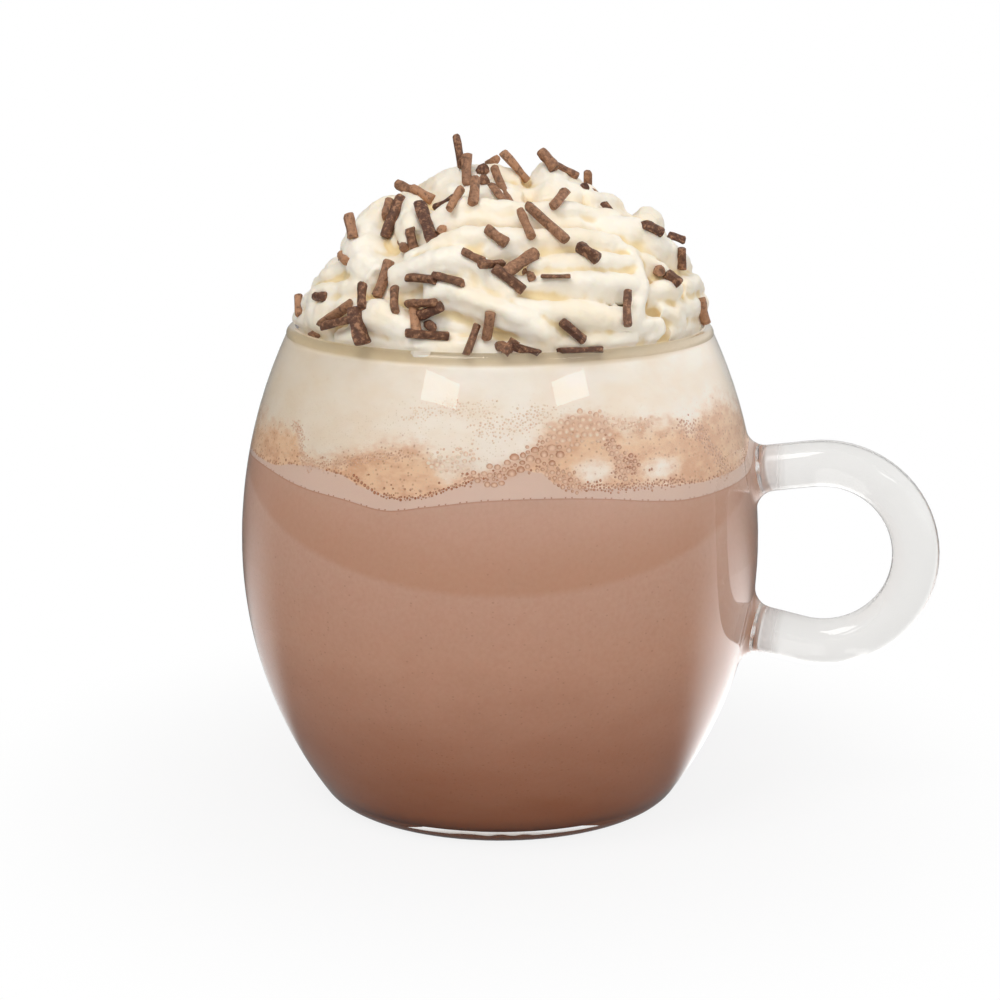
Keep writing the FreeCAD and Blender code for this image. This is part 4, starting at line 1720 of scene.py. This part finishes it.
@dataclass
class Sprinkles:
    """Chocolate sprinkles: blunt uneven rods strewn on the cream."""

    seed: int = 5
    thickness: float = 1.85
    patterns: int = 9
    sides: int = 9
    crease_angle: float = 44.0
    steps: tuple[float, ...] = (0.04, 0.21, 0.25, 0.25, 0.21, 0.04)
    sizes: tuple[float, ...] = (1.16, 1.04, 0.93, 1.03, 1.06, 0.86)
    squash: float = 0.88
    wide_flat: float = 0.62
    slim_flat: float = 0.5
    head: float = 1.4
    tail: float = 2.6
    most_tilt: float = 0.9
    most_lift: float = 1.6
    rest_share: float = 0.36
    strewn_rest_share: float = 0.3
    behind: int = 70
    strewn_from: float = 82.0
    strewn_to: float = 278.0
    strewn_rise: float = 27.0
    strewn_foot: float = 2.5
    front: tuple[Rod, ...] = (
        Rod(-7, 29, -82, 5.5), Rod(-5.5, 26, 88, 5), Rod(-4.5, 22.5, 84, 4.5), Rod(-3, 26, 20, 0),
        Rod(-3, 24, 60, 0), Rod(-7.5, 21, 57, 4), Rod(-9.5, 20.5, 28, 3.5), Rod(-1, 27.5, 30, 0),
        Rod(2.5, 26.5, -48, 6.5), Rod(0.5, 23, -65, 7.5), Rod(0.5, 21, -51, 6), Rod(8, 27.5, -53, 4),
        Rod(11, 26, -26, 5), Rod(14, 23, 0, 0), Rod(10, 21, 50, 3.5), Rod(18.5, 19, -56, 3),
        Rod(-15.5, 23, -19, 4), Rod(-13, 22, -28, 4), Rod(-19, 19.5, 71, 3), Rod(-18, 18, 65, 7.5),
        Rod(-12, 16.5, -70, 8.5, 1.2), Rod(-10, 15.5, 80, 0), Rod(-15, 14.5, -78, 3.5),
        Rod(-16.5, 13, -72, 0), Rod(-25.5, 16.5, -79, 4), Rod(-26.5, 11, -57, 0), Rod(-30.5, 4.5, 0, 0),
        Rod(8, 17, -42, 9),
        Rod(4.5, 17, -64, 5), Rod(-0.5, 15, -35, 4.2), Rod(15, 12, -33, 4.2), Rod(-4.5, 11.5, -25, 4),
        Rod(-1.5, 10, 0, 4), Rod(1.5, 7.5, -39, 6.5), Rod(3.5, 10, 33, 6.5), Rod(5, 8, -45, 0),
        Rod(-20, 7.5, 72, 6.5), Rod(-13.5, 7.5, -7, 5), Rod(-9, 7.5, -15, 5.5), Rod(-23.5, 4.5, 86, 4),
        Rod(-18, 4, 89, 4), Rod(-13.5, 3.5, 5, 5), Rod(-12, 2, 25, 4.5), Rod(-14.5, 1, -82, 5.5),
        Rod(-12, -0.5, -45, 0), Rod(-12.5, -2, -5, 7.5), Rod(-28, 1.5, 34, 6.5), Rod(-28, 0, 13, 5),
        Rod(-30, -1.5, 20, 5.8), Rod(-24, -0.5, -77, 6.5, 1.5), Rod(-2, -0.5, 81, 4.8), Rod(-5, -3, 71, 6),
        Rod(0, -4.2, 19, 0), Rod(1.8, -4.4, 50, 3.4), Rod(4.4, -4.6, -15, 5), Rod(14, -4.8, 2, 7.5),
        Rod(12.5, -1.5, -40, 5.2), Rod(22, 2.5, -89, 6.2), Rod(9.5, 8, 0, 5, 0.5), Rod(26, 16, -30, 3.4),
        Rod(30, 14.5, -20, 3), Rod(31, 11, -89, 3.6), Rod(29.5, 7.5, -39, 3), Rod(27, 9, -26, 0),
        Rod(35, 2, -75, 4.5), Rod(-34.5, 3, 89, 3.5))

    def pattern(self, chance: random.Random) -> bpy.types.Object:
        """Model one uneven rod of unit length and thickness, standing on its end.

        Args:
            chance: Source of its unevenness.

        Returns:
            The rod.
        """
        bpy.ops.mesh.primitive_circle_add(vertices=self.sides, radius=0.42, fill_type="NGON",
                                          location=(0, 0, -0.5))
        rod = bpy.context.object
        bpy.ops.object.mode_set(mode="EDIT")
        bpy.ops.mesh.select_all(action="SELECT")
        for step, size in zip(self.steps, self.sizes):
            slide = (chance.uniform(-0.04, 0.04), chance.uniform(-0.04, 0.04), step)
            bpy.ops.mesh.extrude_region_move(TRANSFORM_OT_translate={"value": slide})
            stretch = size * chance.uniform(0.94, 1.06)
            bpy.ops.transform.resize(value=(stretch, size * chance.uniform(0.94, 1.06), 1.0))
        bpy.ops.object.mode_set(mode="OBJECT")
        settle(rod)
        face_outwards(rod)
        ridges = [chance.uniform(0.82, 1.12) for _ in range(self.sides)]
        bow = chance.uniform(-0.3, 0.3)
        slant = chance.uniform(-0.14, 0.14)
        for vertex in rod.data.vertices:
            side = round(math.atan2(vertex.co.y, vertex.co.x) / (2 * math.pi) * self.sides) % self.sides
            size = ridges[side] * chance.uniform(0.95, 1.05)
            along = vertex.co.z * 2
            vertex.co.x = vertex.co.x * size + bow * (1 - along ** 2) * 0.5
            vertex.co.y = vertex.co.y * size * self.squash
            vertex.co.z += slant * along ** 3 * vertex.co.x
        return rod

    def lay(self, pattern: bpy.types.Object, first: Vector, second: Vector, wide: float,
            chance: random.Random) -> bpy.types.Object:
        """Copy a rod between two points.

        Args:
            pattern: The rod to copy.
            first: One end, in metres.
            second: The other end.
            wide: Width against a usual sprinkle.
            chance: Source of its thickness and tone.

        Returns:
            The copy.
        """
        axis = second - first
        mesh = pattern.data.copy()
        rod = bpy.data.objects.new("sprinkle", mesh)
        bpy.context.scene.collection.objects.link(rod)
        girth = self.thickness * MM * chance.uniform(0.8, 1.12) * max(wide, 0.75)
        flat = self.wide_flat if wide > 1.1 else (self.slim_flat if wide < 0.8 else 1.0)
        turn = Matrix.Rotation(chance.uniform(0, 2 * math.pi) if flat == 1.0 else 0.0, 4, "Z")
        shape = Matrix.Diagonal((girth, girth * flat, axis.length, 1.0))
        stand = axis.to_track_quat("Z", "Y").to_matrix().to_4x4()
        mesh.transform(Matrix.Translation((first + second) / 2) @ stand @ turn @ shape)
        tone = chance.random() ** 1.4
        mesh.attributes.new("tone", "FLOAT", "POINT").data.foreach_set("value", [tone] * len(mesh.vertices))
        return rod

    def ends(self, rod: Rod, surface: BVHTree) -> tuple[Vector, Vector]:
        """Find where a rod of the front lies on the cream.

        Args:
            rod: The rod.
            surface: The cream.

        Returns:
            Its two ends, in metres.
        """
        eye = VIEW.eye()
        lean = math.radians(rod.lean)
        right, up = VIEW.across(), Vector((0.0, 0.0, 1.0))
        middle = right * rod.across * MM + up * (BARREL.rim + rod.rise) * MM
        half = (right * math.cos(lean) + up * math.sin(lean)) * rod.length * MM / 2
        sight = (middle - eye).normalized()
        if rod.length == 0:
            hit = surface.ray_cast(eye, sight)[0] or middle
            axis = (-sight + right * 0.35 * math.cos(lean) + up * 0.35 * math.sin(lean)).normalized()
            return hit + axis * self.head * MM, hit - axis * self.tail * MM
        hits = []
        for share in (-1.0, -0.5, 0.0, 0.5, 1.0):
            aim = (middle + half * share - eye).normalized()
            found = surface.ray_cast(eye, aim)
            hits.append(found[3] if found[0] else None)
        known = [depth for depth in hits if depth is not None]
        if not known:
            return middle - half, middle + half
        near, far = (hits[0] or known[0]), (hits[-1] or known[-1])
        tilt = self.most_tilt * rod.length * MM
        far = max(min(far, near + tilt), near - tilt)
        lift = 0.0
        for number, depth in enumerate(hits):
            if depth is not None:
                lift = max(lift, near + (far - near) * number / 4 - depth)
        lift = min(lift, self.most_lift * MM) + self.rest_share * self.thickness * MM
        start = (middle - half - eye).normalized() * (near - lift)
        finish = (middle + half - eye).normalized() * (far - lift)
        return eye + start, eye + finish

    def strew(self, surface: BVHTree, chance: random.Random) -> tuple[Vector, Vector] | None:
        """Drop one rod on the sides or the back of the cream.

        Args:
            surface: The cream.
            chance: Source of its place.

        Returns:
            Its two ends in metres, or nothing where it missed.
        """
        bearing = chance.uniform(self.strewn_from, self.strewn_to)
        height = BARREL.rim + self.strewn_rise * chance.random() ** 0.8
        origin = on_round(bearing, 80, height + 40)
        target = on_round(bearing + chance.uniform(-8, 8), 0, height - chance.uniform(4, 10))
        place, normal, _, _ = surface.ray_cast(origin, (target - origin).normalized())
        if place is None or place.z < (BARREL.rim + self.strewn_foot) * MM:
            return None
        sight = place + normal * 2 * MM - VIEW.eye()
        if surface.ray_cast(VIEW.eye(), sight.normalized(), sight.length)[0] is None:
            return None
        sweep = Vector((chance.gauss(0, 1), chance.gauss(0, 1), chance.gauss(0, 1)))
        along = (sweep - normal * sweep.dot(normal) * chance.uniform(0.6, 1.0)).normalized()
        length = chance.uniform(3.5, 8.0) * MM
        centre = place + normal * self.strewn_rest_share * self.thickness * MM
        return centre - along * length / 2, centre + along * length / 2

    def build(self, dome: bpy.types.Object) -> None:
        """Lay the front rods one by one, strew the rest and join them.

        Args:
            dome: The cream.
        """
        chance = random.Random(self.seed)
        surface = BVHTree.FromObject(dome, bpy.context.evaluated_depsgraph_get())
        patterns = [self.pattern(chance) for _ in range(self.patterns)]
        rods = []
        for rod in self.front:
            rods.append(self.lay(chance.choice(patterns), *self.ends(rod, surface), rod.wide, chance))
        while len(rods) < len(self.front) + self.behind:
            ends = self.strew(surface, chance)
            if ends:
                rods.append(self.lay(chance.choice(patterns), *ends, 1.0, chance))
        for pattern in patterns:
            bpy.data.objects.remove(pattern)
        sprinkles = join_pieces(rods, "chocolate_sprinkles")
        bpy.ops.object.shade_smooth_by_angle(angle=math.radians(self.crease_angle))
        sprinkles.data.materials.append(Chocolate().make())
        declare(sprinkles, "sprinkles")


# ------------------------------------------------------------------ studio

@dataclass(frozen=True)
class Patch:
    """Bright or dark place in the room, as glass mirrors it.

    azimuth is in degrees to the right of the front and rise the sine of the elevation; ends
    are the cosines at which the patch starts and where it is full.
    """

    azimuth: float
    rise: float
    ends: tuple[float, float]
    strength: float
    power: int = 1


@dataclass(frozen=True)
class Lamp:
    """Soft lamp aimed at the mug: angles in degrees, lengths in metres, power in watts."""

    name: str
    azimuth: float
    elevation: float
    distance: float
    size: tuple[float, float]
    power: float
    mirrored: bool = True


@dataclass
class Studio:
    """Pale floor, plain background, soft lamps and the camera.

    The lit places are what light falls from; the room is only what glass mirrors.
    """

    level: float = 0.43
    through_glass: float = 0.56
    slant: float = 0.34
    slant_azimuth: float = 78.0
    slant_rise: float = 0.3
    room_level: float = 0.3
    table_level: float = 0.25
    table_slant: float = 0.13
    horizon: tuple[float, float] = (-0.18, 0.25)
    walls: Patch = Patch(100.0, 0.0, (0.2, 1.0), 1.35)
    gloom: Patch = Patch(-105.0, 0.0, (0.1, 0.9), -0.3)
    table: tuple[Patch, ...] = (
        Patch(108.0, -0.5, (0.8, 1.0), 2.4, 2), Patch(-122.0, -0.45, (0.86, 1.0), 0.8, 2),
        Patch(178.0, -0.25, (0.88, 1.0), 0.14))
    floor_size: float = 12.0
    floor_paper: str = "dcdcdc"
    mirror_height: float = 0.04
    shadow_ends: tuple[float, float] = (0.04, 0.11)
    shadow_share: float = 0.14
    under_mug: tuple[float, float] = (0.06, 0.03)
    bounces: int = 48
    aim_share: float = 0.6
    lamps: tuple[Lamp, ...] = (
        Lamp("window_left", -32.0, 36.0, 1.1, (0.3, 0.11), 0.4),
        Lamp("window_right", 38.0, 36.0, 1.1, (0.3, 0.11), 0.4),
        Lamp("overhead", -38.0, 58.0, 1.3, (0.55, 0.55), 5.8),
        Lamp("front_fill", 5.0, 34.0, 1.2, (0.6, 0.4), 2.0, mirrored=False))

    def light_world(self) -> None:
        """Light the world.

        It is white for the eye and through glass.  For the rest it has a soft level that is
        brighter on the right.
        """
        world = bpy.data.worlds.new("studio")
        bpy.context.scene.world = world
        graph = Graph("studio", world)
        path = graph.node("ShaderNodeLightPath", {}, {}).outputs
        passed = Channel(graph, path["Is Transmission Ray"])
        clear = passed.highest(path["Is Glossy Ray"]).highest(path["Is Camera Ray"])
        mirrored = (1.0 - passed) * path["Is Glossy Ray"]
        seen = Channel(graph, path["Diffuse Depth"]).step(0.6, 0.4) * clear
        way = graph.node("ShaderNodeTexCoord", {}, {}).outputs["Generated"]
        shown = mirrored * (self.room(graph, way) - 1.0) + 1.0
        slanted = self.toward(graph, way, self.slant_azimuth, self.slant_rise) * self.slant
        soft = slanted + passed * self.through_glass + self.level
        strength = seen * shown + (1.0 - seen) * soft
        background = graph.node("ShaderNodeBackground", {}, {"Color": paint("ffffff"), "Strength": strength})
        graph.node("ShaderNodeOutputWorld", {}, {"Surface": background.outputs[0]})

    def room(self, graph: Graph, way: bpy.types.NodeSocket) -> Channel:
        """Brightness of the room as glass mirrors it, the same for the world and the floor.

        The walls are bright on the right and dim on the left.  The table is brighter in front
        than behind, with patches close to the mug on the right, on the left and behind.

        Args:
            graph: Graph of the world or the floor.
            way: Direction of unit length, from the middle of the mug.

        Returns:
            The brightness; 1 is white.
        """
        above = graph.part(way, "Z").step(*self.horizon)
        walls = self.glow(graph, way, self.walls) + self.glow(graph, way, self.gloom) + self.room_level
        brightness = above * walls
        for patch in self.table:
            brightness = brightness + self.glow(graph, way, patch)
        return brightness + self.toward(graph, way, 0.0, 0.0) * self.table_slant + self.table_level

    def glow(self, graph: Graph, way: bpy.types.NodeSocket, patch: Patch) -> Channel:
        """Brightness that one patch adds.

        Args:
            graph: Graph of the world or the floor.
            way: Direction of unit length.
            patch: The patch.

        Returns:
            The brightness.
        """
        share = self.toward(graph, way, patch.azimuth, patch.rise).step(*patch.ends)
        return share ** patch.power * patch.strength

    @staticmethod
    def toward(graph: Graph, way: bpy.types.NodeSocket, azimuth: float, rise: float) -> Channel:
        """How far a direction points one way, -1 to 1.

        Args:
            graph: Graph of the world or the floor.
            way: Direction of unit length.
            azimuth: Degrees to the right of the front.
            rise: Sine of the elevation.

        Returns:
            The cosine between the two.
        """
        return graph.along(way, on_round(azimuth, math.sqrt(1 - rise ** 2), rise) / MM)

    def lay_floor(self) -> None:
        """Pale floor that keeps the mug's shadow and melts into the background."""
        bpy.ops.mesh.primitive_plane_add(size=self.floor_size)
        floor = bpy.context.object
        floor.name = "studio_floor"
        graph = Graph("studio_paper")
        place = graph.place()
        away = graph.length(place)
        path = graph.node("ShaderNodeLightPath", {}, {}).outputs
        passed = Channel(graph, path["Is Transmission Ray"])
        mirrored = (1.0 - passed) * path["Is Glossy Ray"]
        seen = mirrored.highest(path["Is Camera Ray"]).highest(passed)
        line = graph.moved(place, (1.0, 1.0, 1.0), (0.0, 0.0, -self.mirror_height))
        way = graph.node("ShaderNodeVectorMath", {"operation": "NORMALIZE"}, {0: line}).outputs[0]
        shown = mirrored * (self.room(graph, way) - 1.0) + 1.0
        paper = graph.node("ShaderNodeBsdfDiffuse", {}, {"Color": paint(self.floor_paper)})
        glow = graph.node("ShaderNodeEmission", {}, {"Color": paint("ffffff"), "Strength": shown})
        lit = away.step(*self.shadow_ends) * self.shadow_share + (1.0 - self.shadow_share)
        share = seen * lit * (1.0 - passed * away.step(*self.under_mug))
        floor.data.materials.append(graph.close(graph.mixed(share, paper.outputs[0], glow.outputs[0])))

    def hang(self, lamp: Lamp) -> None:
        """Hang a lamp and aim it at the mug.

        Args:
            lamp: The lamp.
        """
        light = bpy.data.lights.new(lamp.name, "AREA")
        light.shape = "RECTANGLE"
        light.size, light.size_y = lamp.size
        light.energy = lamp.power
        holder = bpy.data.objects.new(lamp.name, light)
        bpy.context.scene.collection.objects.link(holder)
        holder.visible_glossy = lamp.mirrored
        tilt = math.radians(lamp.elevation)
        reach = lamp.distance / MM
        foot = on_round(lamp.azimuth, reach * math.cos(tilt), reach * math.sin(tilt))
        target = Vector((0.0, 0.0, BARREL.rim * MM * self.aim_share))
        holder.location = foot
        holder.rotation_euler = (target - foot).to_track_quat("-Z", "Y").to_euler()

    def place_camera(self) -> None:
        """Camera at the viewpoint."""
        camera = bpy.data.cameras.new("camera")
        camera.lens = VIEW.lens
        camera.sensor_width = 36.0
        camera.clip_start = 0.01
        holder = bpy.data.objects.new("camera", camera)
        bpy.context.scene.collection.objects.link(holder)
        tilt = math.radians(90.0 - VIEW.elevation + VIEW.raise_aim)
        holder.location = VIEW.eye()
        holder.rotation_euler = (tilt, 0.0, math.radians(VIEW.azimuth))
        bpy.context.scene.camera = holder

    def build(self) -> None:
        """Set up everything round the mug."""
        self.light_world()
        self.lay_floor()
        for lamp in self.lamps:
            self.hang(lamp)
        self.place_camera()
        scene = bpy.context.scene
        scene.view_settings.view_transform = "Standard"
        scene.cycles.max_bounces = self.bounces
        scene.cycles.glossy_bounces = self.bounces
        scene.cycles.transmission_bounces = self.bounces


def main() -> None:
    """Build and dress the whole drink."""
    logging.basicConfig(level=logging.INFO, format="%(name)s: %(message)s")
    bubbles = Bubbles()
    Drink().build()
    Froth(bubbles.rows).build()
    bubbles.build()
    dome = CreamDome().build()
    Sprinkles().build(dome)
    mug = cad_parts["mug"]
    mug.data.materials.clear()
    mug.data.materials.append(ClearGlass().make())
    Studio().build()


if __name__ == "__main__":
    main()
